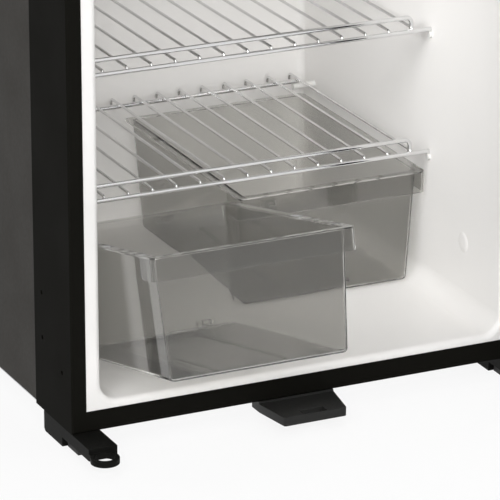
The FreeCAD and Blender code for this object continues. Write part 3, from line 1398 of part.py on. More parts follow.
PIECES = {
    "outer_shell": outer_shell,
    "base_pan": base_pan,
    "back_sheet": back_sheet,
    "insulation_foam": insulation_foam,
    "inner_liner": inner_liner,
    "wall_plugs": wall_plugs,
    "front_frame": front_frame,
    "left_hinge_bracket": left_hinge_bracket,
    "right_hinge_bracket": right_hinge_bracket,
    "lower_hinge_pin": lower_hinge_pin,
    "upper_hinge_bracket": upper_hinge_bracket,
    "upper_hinge_pin": upper_hinge_pin,
    "upper_bracket_screws": upper_bracket_screws,
    "catch_tab": catch_tab,
    "foot_pads": foot_pads,
    "rear_feet": rear_feet,
    "lower_wire_shelf": lambda: wire_shelf(LOWER_SHELF_Z),
    "upper_wire_shelf": lambda: wire_shelf(UPPER_SHELF_Z),
    "shelf_studs": shelf_studs,
    "left_bin": left_bin,
    "left_bin_glides": left_bin_glides,
    "right_bin": lambda: stored_bin(BIN_X),
    "right_bin_glides": lambda: bin_glides(BIN_X),
    "evaporator_box": evaporator_box,
    "evaporator_hangers": evaporator_hangers,
    "flap_frame": flap_frame,
    "freezer_flap": freezer_flap,
    "tray_rails": tray_rails,
    "drip_tray": drip_tray,
    "control_housing": control_housing,
    "lamp_lens": lamp_lens,
    "thermostat_knob": thermostat_knob,
    "door_edge_profile": door_edge_profile,
    "door_skin": door_skin,
    "door_foam": door_foam,
    "door_liner": door_liner,
    "door_gasket": door_gasket,
    "door_bottle_shelf": door_bottle_shelf,
    "door_upper_shelf": door_upper_shelf,
    "bottle_rail": bottle_rail,
    "door_bushes": door_bushes,
    "door_handle": door_handle,
    "bolt_guide": bolt_guide,
    "door_bolt": door_bolt,
    "compressor": compressor,
    "compressor_rail": compressor_rail,
    "compressor_grommets": compressor_grommets,
    "control_module": control_module,
    "fan_housing": fan_housing,
    "fan_rotor": fan_rotor,
    "condenser_coil": condenser_coil,
    "condenser_wires": condenser_wires,
    "filter_drier": filter_drier,
    "discharge_pipe": discharge_pipe,
    "liquid_pipe": liquid_pipe,
    "suction_pipe": suction_pipe,
    "capillary_pipe": capillary_pipe,
    "rear_guard": rear_guard,
    "power_gland": power_gland,
}


def solids_of(made):
    """Clean solids of a piece, as one shape."""
    shapes = made if isinstance(made, list) else [made]
    solids = [solid for shape in shapes for solid in shape.Solids]
    return solids[0] if len(solids) == 1 else Part.makeCompound(solids)


os.makedirs("parts", exist_ok=True)
for name, make in PIECES.items():
    piece = solids_of(make())
    piece.exportStep("parts/" + name + ".step")
    print(name, len(piece.Solids), "valid" if piece.isValid() else "NOT VALID", round(piece.Volume))
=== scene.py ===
import json
import math

import bmesh
import bpy
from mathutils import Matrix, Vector

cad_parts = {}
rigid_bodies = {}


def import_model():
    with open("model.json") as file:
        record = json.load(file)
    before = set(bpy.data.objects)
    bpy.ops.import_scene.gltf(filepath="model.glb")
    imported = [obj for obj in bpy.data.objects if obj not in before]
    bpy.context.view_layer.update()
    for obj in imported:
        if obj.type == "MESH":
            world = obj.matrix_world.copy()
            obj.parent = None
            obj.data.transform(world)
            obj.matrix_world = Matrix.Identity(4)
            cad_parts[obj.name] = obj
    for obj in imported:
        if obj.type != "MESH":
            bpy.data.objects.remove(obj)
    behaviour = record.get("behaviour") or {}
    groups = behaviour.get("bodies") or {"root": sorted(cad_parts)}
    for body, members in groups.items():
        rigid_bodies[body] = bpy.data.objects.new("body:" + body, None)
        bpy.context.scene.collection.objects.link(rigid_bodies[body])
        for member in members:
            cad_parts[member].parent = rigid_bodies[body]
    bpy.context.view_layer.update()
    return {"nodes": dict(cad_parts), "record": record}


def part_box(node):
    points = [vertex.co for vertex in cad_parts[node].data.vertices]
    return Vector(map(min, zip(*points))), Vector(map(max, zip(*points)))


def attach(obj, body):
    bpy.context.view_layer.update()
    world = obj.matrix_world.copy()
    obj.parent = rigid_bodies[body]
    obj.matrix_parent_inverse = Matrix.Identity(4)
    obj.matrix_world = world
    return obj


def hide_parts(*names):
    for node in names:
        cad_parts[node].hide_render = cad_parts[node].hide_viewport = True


# A marine refrigerator with its door open and its left bin drawn out. Metres. X to the right, Y to the back,
# Z up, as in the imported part.

for leftover in list(bpy.data.objects):
    bpy.data.objects.remove(leftover)
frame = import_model()
scene = bpy.context.scene

# Wire sizes, as in the part
RAIL_R = 0.0024
RAIL_UP = 0.0145
RAIL_BEND = 0.006
CROSS_R = 0.0016
CROSS_COUNT = 16
CROSS_BEND = 0.004
CROSS_TAIL = 0.007
WELD = 0.0004
SHELF_SIDE = 0.0215
BACK_WIRE_IN = 0.020
WIRE_SIDES = 20
BEND_STEPS = 8
BEAD_SIZE = 0.0021
BEAD_SEED = 7
BEAD_LIFT = 0.7 * RAIL_R

# Door seal
SEAL_WIDE = 0.018
SEAL_CORNER = 0.0095
SEAL_CORNER_STEPS = 6

# Rear guard's screws
SCREW_IN = 0.013
SCREW_MIDDLE = 0.085
SCREW_R = 0.0042
SCREW_HIGH = 0.0024

# Caps in the liner's side walls
CAP_R = 0.011
CAP_STEM_R = 0.004
CAP_PROUD = 0.0013
CAP_STEM_LONG = 0.0088
CAP_SUNK = 0.0002
CAP_SHARES = (1.0, 0.97, 0.92, 0.84, 0.74, 0.6, 0.4, 0.2)
PLUG_IN_WALL = 0.009

# Thermostat's marks
DIAL_MARKS = 11
DIAL_STEP = 27.0
DIAL_GAP = 0.0055
DIAL_MARK = (0.0042, 0.0011, 0.0005)
POINTER_MARK = (0.0075, 0.0014, 0.0005)
POINTER_UP = 0.0085
MARK_SUNK = 0.0001

# Freezer's channels
FREEZER_WALL = 0.0016
CHANNEL_ROWS = 7
CHANNEL_IN = 0.030
CHANNEL_APART = 0.040
CHANNEL_CORNER = 0.018

# Rounded edges: width, and the least angle in degrees that counts as an edge
BIN_EDGE = (0.0006, 40.0)
BRACKET_EDGE = (0.0007, 30.0)
SAME_POINT = 1e-6
FLAT_FACE = 1e-7
HARD_EDGE = 0.9

# Camera
CAMERA_PLACE = (-1.7398, -3.8783, 1.6085)
CAMERA_PITCH = 20.04
CAMERA_YAW = 25.14
CAMERA_LENS = 296.6

FLOOR_Z = -0.024
FLOOR_REACH = 9.0
FLOOR_WHITE = 0.88


# Shader groups

def shader_group(name, inputs, outputs):
    tree = bpy.data.node_groups.new(name, "ShaderNodeTree")
    for label, kind, value in inputs:
        socket = tree.interface.new_socket(label, in_out="INPUT", socket_type=kind)
        if value is not None:
            socket.default_value = value
    for label, kind in outputs:
        tree.interface.new_socket(label, in_out="OUTPUT", socket_type=kind)
    return tree, tree.nodes.new("NodeGroupInput"), tree.nodes.new("NodeGroupOutput")


def add(tree, kind, values=None, **settings):
    """New node with settings, and values or links for its inputs by name or number."""
    node = tree.nodes.new(kind)
    for key, value in settings.items():
        setattr(node, key, value)
    for key, value in (values or {}).items():
        socket = node.inputs[key]
        if isinstance(value, bpy.types.NodeSocket):
            tree.links.new(value, socket)
        else:
            socket.default_value = value
    return node


def maths(tree, operation, a, b=0.0, clamp=False):
    return add(tree, "ShaderNodeMath", {0: a, 1: b}, operation=operation, use_clamp=clamp).outputs[0]


def span(tree, value, low, high, to_low, to_high):
    node = add(tree, "ShaderNodeMapRange", {"Value": value, "From Min": low, "From Max": high, "To Min": to_low,
                                            "To Max": to_high})
    return node.outputs["Result"]


def noise(tree, vector, scale, detail=2.0, rough=0.5):
    return add(tree, "ShaderNodeTexNoise", {"Vector": vector, "Scale": scale, "Detail": detail,
                                            "Roughness": rough}).outputs["Fac"]


def skin_group():
    """Fine moulded or sprayed skin: small bumps, a slow change of shade and faint handling marks."""
    tree, source, target = shader_group("fine_skin", (("Vector", "NodeSocketVector", None),
                                                      ("Scale", "NodeSocketFloat", 900.0),
                                                      ("Pits", "NodeSocketFloat", 0.5)),
                                        (("Height", "NodeSocketFloat"), ("Shade", "NodeSocketFloat"),
                                         ("Marks", "NodeSocketFloat")))
    vector = source.outputs["Vector"]
    scale = source.outputs["Scale"]
    soft = noise(tree, vector, maths(tree, "MULTIPLY", scale, 0.45), 3.0, 0.6)
    cells = add(tree, "ShaderNodeTexVoronoi", {"Vector": vector, "Scale": scale}, feature="SMOOTH_F1")
    pits = maths(tree, "MULTIPLY", cells.outputs["Distance"], source.outputs["Pits"])
    tree.links.new(maths(tree, "ADD", soft, pits), target.inputs["Height"])
    tree.links.new(noise(tree, vector, 5.0, 3.0, 0.55), target.inputs["Shade"])
    tree.links.new(span(tree, noise(tree, vector, 16.0, 2.0, 0.5), 0.35, 0.7, 0.0, 1.0), target.inputs["Marks"])
    return tree


def metal_group():
    """Drawn, rolled or plated metal: fine lines along one direction and a slow change of tone."""
    tree, source, target = shader_group("drawn_metal", (("Vector", "NodeSocketVector", None),
                                                        ("Stretch", "NodeSocketVector", (1.0, 1.0, 1.0)),
                                                        ("Scale", "NodeSocketFloat", 120.0)),
                                        (("Height", "NodeSocketFloat"), ("Streak", "NodeSocketFloat"),
                                         ("Tone", "NodeSocketFloat")))
    vector = source.outputs["Vector"]
    pulled = add(tree, "ShaderNodeVectorMath", {0: vector, 1: source.outputs["Stretch"]}, operation="MULTIPLY")
    lines = noise(tree, pulled.outputs["Vector"], source.outputs["Scale"], 4.0, 0.65)
    tree.links.new(lines, target.inputs["Height"])
    tree.links.new(span(tree, lines, 0.3, 0.7, 0.0, 1.0), target.inputs["Streak"])
    tree.links.new(noise(tree, vector, 9.0, 3.0, 0.6), target.inputs["Tone"])
    return tree


def spangle_group():
    """Crystals of a hot-dip zinc coat."""
    tree, source, target = shader_group("zinc_spangle", (("Vector", "NodeSocketVector", None),
                                                         ("Scale", "NodeSocketFloat", 90.0)),
                                        (("Tone", "NodeSocketFloat"), ("Height", "NodeSocketFloat")))
    vector = source.outputs["Vector"]
    wobble = add(tree, "ShaderNodeTexNoise", {"Vector": vector, "Scale": 60.0, "Detail": 2.0})
    moved = add(tree, "ShaderNodeMix", {"Factor": 0.01, "A": vector, "B": wobble.outputs["Color"]},
                data_type="VECTOR")
    cells = add(tree, "ShaderNodeTexVoronoi", {"Vector": moved.outputs["Result"],
                                               "Scale": source.outputs["Scale"]})
    split = add(tree, "ShaderNodeSeparateColor", {"Color": cells.outputs["Color"]})
    tree.links.new(split.outputs["Red"], target.inputs["Tone"])
    tree.links.new(split.outputs["Green"], target.inputs["Height"])
    return tree


SKIN = skin_group()
METAL = metal_group()
SPANGLE = spangle_group()


# Materials

def blank(name):
    """New material with its shader, and the place vector that its textures use."""
    made = bpy.data.materials.new(name)
    made.use_nodes = True
    tree = made.node_tree
    shader = tree.nodes["Principled BSDF"]
    place = add(tree, "ShaderNodeTexCoord").outputs["Object"]
    return made, tree, shader, place


def grouped(tree, group, place, **values):
    node = tree.nodes.new("ShaderNodeGroup")
    node.node_tree = group
    tree.links.new(place, node.inputs["Vector"])
    for label, value in values.items():
        node.inputs[label].default_value = value
    return node


def mixed(tree, factor, a, b):
    """Colour between two by a factor."""
    node = add(tree, "ShaderNodeMix", {"Factor": factor}, data_type="RGBA")
    for key, value in ((6, a), (7, b)):
        if isinstance(value, bpy.types.NodeSocket):
            tree.links.new(value, node.inputs[key])
        else:
            node.inputs[key].default_value = (*value, 1.0)
    return node.outputs[2]


def bumped(tree, shader, height, strength, distance):
    bump = add(tree, "ShaderNodeBump", {"Height": height, "Strength": strength, "Distance": distance})
    tree.links.new(bump.outputs["Normal"], shader.inputs["Normal"])


def skinned(name, dark, light, rough, scale, pits, depth, coat=0.0, strength=0.35, gloss=0.5):
    """Moulded plastic, rubber or paint: two near shades, grain and handling marks."""
    made, tree, shader, place = blank(name)
    skin = grouped(tree, SKIN, place, Scale=scale, Pits=pits)
    tree.links.new(mixed(tree, skin.outputs["Shade"], dark, light), shader.inputs["Base Color"])
    marks = maths(tree, "MULTIPLY", skin.outputs["Marks"], 0.06)
    grain = span(tree, skin.outputs["Height"], 0.3, 1.0, rough - 0.04, rough + 0.05)
    tree.links.new(maths(tree, "ADD", grain, marks), shader.inputs["Roughness"])
    bumped(tree, shader, skin.outputs["Height"], strength, depth)
    shader.inputs["Coat Weight"].default_value = coat
    shader.inputs["Coat Roughness"].default_value = 0.12
    shader.inputs["Specular IOR Level"].default_value = gloss
    return made


def bright(name, dark, light, rough, stretch, scale, strength=0.08, depth=0.0002):
    """Bare or plated metal."""
    made, tree, shader, place = blank(name)
    lines = grouped(tree, METAL, place, Stretch=stretch, Scale=scale)
    tone = mixed(tree, lines.outputs["Tone"], dark, light)
    tree.links.new(tone, shader.inputs["Base Color"])
    tree.links.new(span(tree, lines.outputs["Streak"], 0.0, 1.0, rough * 0.8, rough * 1.35),
                   shader.inputs["Roughness"])
    bumped(tree, shader, lines.outputs["Height"], strength, depth)
    shader.inputs["Metallic"].default_value = 1.0
    return made


def zinc(name):
    made, tree, shader, place = blank(name)
    flakes = grouped(tree, SPANGLE, place, Scale=85.0)
    tree.links.new(mixed(tree, flakes.outputs["Tone"], (0.46, 0.47, 0.48), (0.66, 0.67, 0.68)),
                   shader.inputs["Base Color"])
    tree.links.new(span(tree, flakes.outputs["Tone"], 0.0, 1.0, 0.30, 0.46), shader.inputs["Roughness"])
    bumped(tree, shader, flakes.outputs["Height"], 0.06, 0.0002)
    shader.inputs["Metallic"].default_value = 1.0
    return made


def copper(name):
    made, tree, shader, place = blank(name)
    lines = grouped(tree, METAL, place, Stretch=(1.0, 1.0, 1.0), Scale=160.0)
    clean = mixed(tree, lines.outputs["Streak"], (0.62, 0.27, 0.14), (0.80, 0.42, 0.25))
    dull = span(tree, lines.outputs["Tone"], 0.45, 0.7, 0.0, 0.7)
    tree.links.new(mixed(tree, dull, clean, (0.20, 0.085, 0.05)), shader.inputs["Base Color"])
    tree.links.new(span(tree, dull, 0.0, 0.7, 0.22, 0.5), shader.inputs["Roughness"])
    bumped(tree, shader, lines.outputs["Height"], 0.1, 0.0002)
    shader.inputs["Metallic"].default_value = 1.0
    return made


def smoky(name):
    """Clear grey plastic with a slight haze. Light passes it tinted, also where it falls on what stands behind."""
    made, tree, shader, place = blank(name)
    skin = grouped(tree, SKIN, place, Scale=60.0, Pits=0.2)
    tree.links.new(mixed(tree, skin.outputs["Shade"], (0.637, 0.632, 0.614), (0.667, 0.662, 0.644)),
                   shader.inputs["Base Color"])
    tree.links.new(span(tree, skin.outputs["Marks"], 0.0, 1.0, 0.015, 0.04), shader.inputs["Roughness"])
    bumped(tree, shader, skin.outputs["Height"], 0.006, 0.0003)
    shader.inputs["Transmission Weight"].default_value = 0.975
    shader.inputs["IOR"].default_value = 1.22
    shader.inputs["Coat Weight"].default_value = 0.20
    shader.inputs["Coat Roughness"].default_value = 0.0
    film = add(tree, "ShaderNodeBsdfTransparent", {"Color": (0.80, 0.80, 0.795, 1.0)})
    rays = add(tree, "ShaderNodeLightPath")
    mix = add(tree, "ShaderNodeMixShader", {0: rays.outputs["Is Shadow Ray"], 1: shader.outputs["BSDF"],
                                            2: film.outputs["BSDF"]})
    tree.links.new(mix.outputs["Shader"], tree.nodes["Material Output"].inputs["Surface"])
    return made


def lens(name):
    """Ribbed lamp cover."""
    made, tree, shader, place = blank(name)
    ribs = add(tree, "ShaderNodeTexWave", {"Vector": place, "Scale": 130.0, "Distortion": 0.0}, bands_direction="Y")
    skin = grouped(tree, SKIN, place, Scale=500.0, Pits=0.3)
    tree.links.new(mixed(tree, skin.outputs["Shade"], (0.86, 0.86, 0.83), (0.93, 0.93, 0.91)),
                   shader.inputs["Base Color"])
    tree.links.new(span(tree, skin.outputs["Height"], 0.3, 1.0, 0.18, 0.32), shader.inputs["Roughness"])
    bumped(tree, shader, ribs.outputs["Fac"], 0.5, 0.0006)
    shader.inputs["Transmission Weight"].default_value = 0.8
    shader.inputs["IOR"].default_value = 1.45
    return made


def foam(name):
    made, tree, shader, place = blank(name)
    cells = add(tree, "ShaderNodeTexVoronoi", {"Vector": place, "Scale": 700.0})
    tree.links.new(mixed(tree, cells.outputs["Distance"], (0.80, 0.66, 0.38), (0.66, 0.50, 0.25)),
                   shader.inputs["Base Color"])
    tree.links.new(span(tree, cells.outputs["Distance"], 0.0, 1.0, 0.75, 0.95), shader.inputs["Roughness"])
    bumped(tree, shader, cells.outputs["Distance"], 0.5, 0.0008)
    return made


LOOKS = {
    "frame_black": skinned("frame_black", (0.0060, 0.0058, 0.0047), (0.0084, 0.0081, 0.0067), 0.50, 1500.0, 0.5,
                           0.0002, gloss=0.010),
    "shell_grey": skinned("shell_grey", (0.028, 0.0255, 0.0215), (0.035, 0.032, 0.0275), 0.48, 420.0, 0.25, 0.0002,
                          strength=0.2, gloss=0.08),
    "liner_white": skinned("liner_white", (0.86, 0.845, 0.825), (0.88, 0.866, 0.848), 0.42, 420.0, 0.15, 0.0001,
                           strength=0.04, gloss=0.35),
    "bracket_black": skinned("bracket_black", (0.0050, 0.0050, 0.0044), (0.0085, 0.0085, 0.0076), 0.46, 1100.0, 0.6,
                             0.00025, gloss=0.04),
    "chrome_wire": bright("chrome_wire", (0.66, 0.66, 0.66), (0.78, 0.78, 0.78), 0.08, (1.0, 0.3, 1.0), 320.0),
    "smoky_clear": smoky("smoky_clear"),
    "white_plastic": skinned("white_plastic", (0.74, 0.735, 0.71), (0.82, 0.815, 0.795), 0.36, 900.0, 0.4, 0.0002,
                             strength=0.2),
    "black_plastic": skinned("black_plastic", (0.013, 0.013, 0.0125), (0.021, 0.021, 0.020), 0.38, 1300.0, 0.5,
                             0.0002, gloss=0.18),
    "grey_rubber": skinned("grey_rubber", (0.13, 0.13, 0.125), (0.19, 0.19, 0.18), 0.62, 800.0, 0.4, 0.0003),
    "black_rubber": skinned("black_rubber", (0.012, 0.012, 0.012), (0.024, 0.023, 0.022), 0.70, 700.0, 0.5, 0.0004),
    "bright_steel": bright("bright_steel", (0.50, 0.50, 0.50), (0.64, 0.63, 0.62), 0.26, (1.0, 1.0, 0.1), 500.0),
    "zinc_sheet": zinc("zinc_sheet"),
    "guard_black": skinned("guard_black", (0.010, 0.010, 0.010), (0.018, 0.018, 0.018), 0.48, 950.0, 0.7, 0.0003),
    "compressor_black": skinned("compressor_black", (0.006, 0.006, 0.007), (0.014, 0.014, 0.015), 0.22, 260.0, 0.2,
                                0.0004, coat=0.4),
    "cold_aluminium": bright("cold_aluminium", (0.70, 0.71, 0.72), (0.82, 0.83, 0.84), 0.34, (0.05, 1.0, 1.0),
                             380.0, 0.15),
    "module_aluminium": bright("module_aluminium", (0.34, 0.35, 0.36), (0.48, 0.49, 0.50), 0.42, (1.0, 1.0, 1.0),
                               900.0, 0.25),
    "copper": copper("copper"),
    "coil_black": skinned("coil_black", (0.008, 0.008, 0.008), (0.016, 0.016, 0.016), 0.38, 600.0, 0.3, 0.0002,
                          coat=0.2),
    "foam": foam("foam"),
    "lens_clear": lens("lens_clear"),
}

SLOT_OF = {part["node"]: part["material_slot"] for part in frame["record"]["subparts"]}


def dress_nodes():
    """Gives each node of the part the look of its material slot."""
    for name, node in frame["nodes"].items():
        look = LOOKS[SLOT_OF[name]]
        if not node.material_slots:
            node.data.materials.append(look)
        for place in node.material_slots:
            place.material = look


# Pieces grown by geometry nodes

def geometry_tree(name, inputs):
    tree = bpy.data.node_groups.new(name, "GeometryNodeTree")
    tree.interface.new_socket("Geometry", in_out="INPUT", socket_type="NodeSocketGeometry")
    for label, kind in inputs:
        tree.interface.new_socket(label, in_out="INPUT", socket_type=kind)
    tree.interface.new_socket("Geometry", in_out="OUTPUT", socket_type="NodeSocketGeometry")
    return tree, tree.nodes.new("NodeGroupInput").outputs, tree.nodes.new("NodeGroupOutput").inputs


def flagged(tree, label):
    return add(tree, "GeometryNodeInputNamedAttribute", {"Name": label}, data_type="BOOLEAN").outputs["Attribute"]


def parted(tree, geometry, label):
    """Geometry with and without a flag on its points."""
    node = add(tree, "GeometryNodeSeparateGeometry", {"Geometry": geometry, "Selection": flagged(tree, label)},
               domain="POINT")
    return node.outputs["Selection"], node.outputs["Inverted"]


def drawn_wire(tree, geometry, radius, bend, steps, sides):
    """Round bar along each run of edges, with bent corners."""
    path = add(tree, "GeometryNodeMeshToCurve", {"Mesh": geometry}).outputs["Curve"]
    path = add(tree, "GeometryNodeFilletCurve", {"Curve": path, "Count": steps, "Radius": bend,
                                                 "Limit Radius": True}, mode="POLY").outputs["Curve"]
    ring = add(tree, "GeometryNodeCurvePrimitiveCircle", {"Resolution": sides, "Radius": radius}).outputs["Curve"]
    return add(tree, "GeometryNodeCurveToMesh", {"Curve": path, "Profile Curve": ring,
                                                 "Fill Caps": True}).outputs["Mesh"]


def finished(tree, geometry, material, target):
    """Real mesh with smooth faces, sharp at its hard edges, in one material."""
    geometry = add(tree, "GeometryNodeRealizeInstances", {"Geometry": geometry}).outputs["Geometry"]
    geometry = add(tree, "GeometryNodeSetShadeSmooth", {"Geometry": geometry}).outputs["Geometry"]
    angle = add(tree, "GeometryNodeInputMeshEdgeAngle").outputs["Unsigned Angle"]
    hard = add(tree, "FunctionNodeCompare", {"A": angle, "B": HARD_EDGE}, operation="GREATER_THAN")
    geometry = add(tree, "GeometryNodeStoreNamedAttribute", {"Geometry": geometry, "Name": "sharp_edge",
                                                             "Value": hard.outputs["Result"]},
                   data_type="BOOLEAN", domain="EDGE").outputs["Geometry"]
    geometry = add(tree, "GeometryNodeSetMaterial", {"Geometry": geometry, "Material": material})
    tree.links.new(geometry.outputs["Geometry"], target["Geometry"])


def welded_wires_tree():
    """Welded wire grid: thick rails, thinner cross wires and a small bead at each weld."""
    tree, source, target = geometry_tree("welded_wires", (
        ("Rail Radius", "NodeSocketFloat"), ("Cross Radius", "NodeSocketFloat"), ("Rail Bend", "NodeSocketFloat"),
        ("Cross Bend", "NodeSocketFloat"), ("Bend Steps", "NodeSocketInt"), ("Sides", "NodeSocketInt"),
        ("Bead Size", "NodeSocketFloat"), ("Bead Seed", "NodeSocketInt"), ("Metal", "NodeSocketMaterial")))
    beads, wires = parted(tree, source["Geometry"], "bead")
    rails, cross = parted(tree, wires, "rail")
    steps, sides = source["Bend Steps"], source["Sides"]
    rails = drawn_wire(tree, rails, source["Rail Radius"], source["Rail Bend"], steps, sides)
    cross = drawn_wire(tree, cross, source["Cross Radius"], source["Cross Bend"], steps, sides)
    points = add(tree, "GeometryNodeMeshToPoints", {"Mesh": beads}).outputs["Points"]
    drop = add(tree, "GeometryNodeMeshIcoSphere", {"Radius": 1.0, "Subdivisions": 3}).outputs["Mesh"]
    vary = add(tree, "FunctionNodeRandomValue", {"Seed": source["Bead Seed"]}, data_type="FLOAT_VECTOR")
    vary.inputs["Min"].default_value = (0.9, 0.9, 0.62)
    vary.inputs["Max"].default_value = (1.15, 1.2, 0.75)
    size = add(tree, "ShaderNodeVectorMath", {0: vary.outputs["Value"], "Scale": source["Bead Size"]},
               operation="SCALE").outputs["Vector"]
    beads = add(tree, "GeometryNodeInstanceOnPoints", {"Points": points, "Instance": drop,
                                                       "Scale": size}).outputs["Instances"]
    joined = add(tree, "GeometryNodeJoinGeometry")
    for geometry in (rails, cross, beads):
        tree.links.new(geometry, joined.inputs["Geometry"])
    finished(tree, joined.outputs["Geometry"], source["Metal"], target)
    return tree


def swept_tree():
    """A section swept along a path with rounded corners."""
    tree, source, target = geometry_tree("swept_section", (("Corner", "NodeSocketFloat"),
                                                           ("Corner Steps", "NodeSocketInt"),
                                                           ("Surface", "NodeSocketMaterial")))
    section, path = parted(tree, source["Geometry"], "section")
    section = add(tree, "GeometryNodeMeshToCurve", {"Mesh": section}).outputs["Curve"]
    path = add(tree, "GeometryNodeMeshToCurve", {"Mesh": path}).outputs["Curve"]
    path = add(tree, "GeometryNodeFilletCurve", {"Curve": path, "Count": source["Corner Steps"],
                                                 "Radius": source["Corner"], "Limit Radius": True},
               mode="POLY").outputs["Curve"]
    swept = add(tree, "GeometryNodeCurveToMesh", {"Curve": path, "Profile Curve": section,
                                                  "Fill Caps": True}).outputs["Mesh"]
    finished(tree, swept, source["Surface"], target)
    return tree


def placed_tree():
    """Copies of one small object on points, each turned as its point says."""
    tree, source, target = geometry_tree("placed_copies", (("Copy", "NodeSocketObject"),
                                                           ("Surface", "NodeSocketMaterial")))
    copy = add(tree, "GeometryNodeObjectInfo", {"Object": source["Copy"]}).outputs["Geometry"]
    turn = add(tree, "GeometryNodeInputNamedAttribute", {"Name": "turn"}, data_type="FLOAT_VECTOR")
    points = add(tree, "GeometryNodeMeshToPoints", {"Mesh": source["Geometry"]}).outputs["Points"]
    copies = add(tree, "GeometryNodeInstanceOnPoints", {"Points": points, "Instance": copy,
                                                        "Rotation": turn.outputs["Attribute"]})
    finished(tree, copies.outputs["Instances"], source["Surface"], target)
    return tree


def skeleton(name, runs, flags, loose=(), closed=()):
    """Mesh of points and edges. flags maps a flag's name to the numbers of the runs that carry it."""
    mesh = bpy.data.meshes.new(name)
    points, edges, owner = [], [], []
    for number, run in enumerate(runs):
        first = len(points)
        points += run
        owner += [number] * len(run)
        edges += [(first + i, first + i + 1) for i in range(len(run) - 1)]
        if number in closed:
            edges.append((first + len(run) - 1, first))
    points += loose
    owner += [-1] * len(loose)
    mesh.from_pydata(points, edges, [])
    for label, carriers in flags.items():
        flag = mesh.attributes.new(label, "BOOLEAN", "POINT")
        for index, number in enumerate(owner):
            flag.data[index].value = number in carriers
    return mesh


def grown(name, mesh, tree, values):
    """Object whose mesh is what the tree makes of a skeleton, worked out once."""
    piece = bpy.data.objects.new(name, mesh)
    scene.collection.objects.link(piece)
    modifier = piece.modifiers.new(name, "NODES")
    modifier.node_group = tree
    for item in tree.interface.items_tree:
        if item.item_type == "SOCKET" and item.in_out == "INPUT" and item.name in values:
            modifier[item.identifier] = values[item.name]
    graph = bpy.context.evaluated_depsgraph_get()
    made = bpy.data.meshes.new_from_object(piece.evaluated_get(graph), depsgraph=graph)
    look = next(material for material in made.materials if material)
    made.materials.clear()
    made.materials.append(look)
    made.polygons.foreach_set("material_index", [0] * len(made.polygons))
    work = bmesh.new()
    work.from_mesh(made)
    bmesh.ops.recalc_face_normals(work, faces=work.faces)
    work.to_mesh(made)
    work.free()
    piece.modifiers.clear()
    piece.data = made
    made.name = name
    return piece


def wire_shelf(name, node, tree):
    """One shelf of welded wire: front and back rail, raised guard rail and bent cross wires."""
    low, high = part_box(node)
    level = low.z + CROSS_TAIL - RAIL_R - CROSS_R + WELD
    front = low.y + RAIL_R
    tip = front + CROSS_R
    guard = front + 2 * RAIL_R - WELD
    end = high.y - CROSS_R
    back = end - BACK_WIRE_IN
    side = high.x - SHELF_SIDE
    top = level + RAIL_R + CROSS_R - WELD
    rise = level + RAIL_UP
    runs = [[(low.x, front, level), (high.x, front, level)],
            [(-side - CROSS_R, back, level), (side + CROSS_R, back, level)],
            [(-side, guard, level), (-side, guard, rise), (side, guard, rise), (side, guard, level)]]
    beads = [(-side, guard, level), (side, guard, level)]
    for index in range(CROSS_COUNT):
        x = -side + 2 * side * index / (CROSS_COUNT - 1)
        runs.append([(x, tip, level), (x, tip, top), (x, end, top), (x, end, top - CROSS_TAIL)])
        beads.append((x, back, level + BEAD_LIFT))
    mesh = skeleton(name, runs, {"rail": (0, 1, 2), "bead": (-1,)}, beads)
    piece = grown(name, mesh, tree, {"Rail Radius": RAIL_R, "Cross Radius": CROSS_R, "Rail Bend": RAIL_BEND,
                                     "Cross Bend": CROSS_BEND, "Bend Steps": BEND_STEPS, "Sides": WIRE_SIDES,
                                     "Bead Size": BEAD_SIZE, "Bead Seed": BEAD_SEED,
                                     "Metal": LOOKS["chrome_wire"]})
    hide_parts(node)
    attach(piece, "cabinet")


def door_seal():
    """Bellows seal round the door's inner face."""
    low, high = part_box("door_gasket")
    deep = high.y - low.y
    half = SEAL_WIDE / 2
    right = [(half, 0.0), (half, 0.0022), (half - 0.0030, 0.0034), (half - 0.0030, 0.0046), (half - 0.0004, 0.0060),
             (half, deep - 0.0026), (half - 0.0008, deep - 0.0008), (half - 0.0028, deep - 0.0001),
             (0.0030, deep - 0.0002)]
    left = [(-u, v) for u, v in reversed(right)]
    section = left[-1:] + right + [(0.0, deep - 0.0009)] + left[:-1]
    path = [(low.x + half, high.y, low.z + half), (high.x - half, high.y, low.z + half),
            (high.x - half, high.y, high.z - half), (low.x + half, high.y, high.z - half)]
    mesh = skeleton("door_seal", [path, [(v, u, 0.0) for u, v in section]], {"section": (1,)}, closed=(0, 1))
    piece = grown("door_seal", mesh, SWEPT_TREE, {"Corner": SEAL_CORNER, "Corner Steps": SEAL_CORNER_STEPS,
                                                  "Surface": LOOKS["grey_rubber"]})
    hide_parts("door_gasket")
    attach(piece, "door")


def from_work(name, work):
    """Object from a bmesh."""
    mesh = bpy.data.meshes.new(name)
    work.to_mesh(mesh)
    work.free()
    made = bpy.data.objects.new(name, mesh)
    scene.collection.objects.link(made)
    return made


def placed(name, copy, places, slot, body):
    """Piece of many copies. places lists a point and a turn about X, Y and Z for each; the copy is used up."""
    mesh = skeleton(name, [], {}, [place for place, turn in places])
    turns = mesh.attributes.new("turn", "FLOAT_VECTOR", "POINT")
    for index, (place, turn) in enumerate(places):
        turns.data[index].vector = turn
    piece = grown(name, mesh, PLACED_TREE, {"Copy": copy, "Surface": LOOKS[slot]})
    bpy.data.objects.remove(copy)
    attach(piece, body)
    return piece


def turned(outline, steps):
    """Mesh of an outline of radii and heights, turned round Z."""
    work = bmesh.new()
    ring = [work.verts.new((radius, 0.0, height)) for radius, height in outline]
    edges = [work.edges.new(pair) for pair in zip(ring, ring[1:])]
    bmesh.ops.spin(work, geom=ring + edges, axis=(0, 0, 1), cent=(0, 0, 0), steps=steps, angle=math.tau)
    bmesh.ops.remove_doubles(work, verts=work.verts, dist=SAME_POINT)
    return work


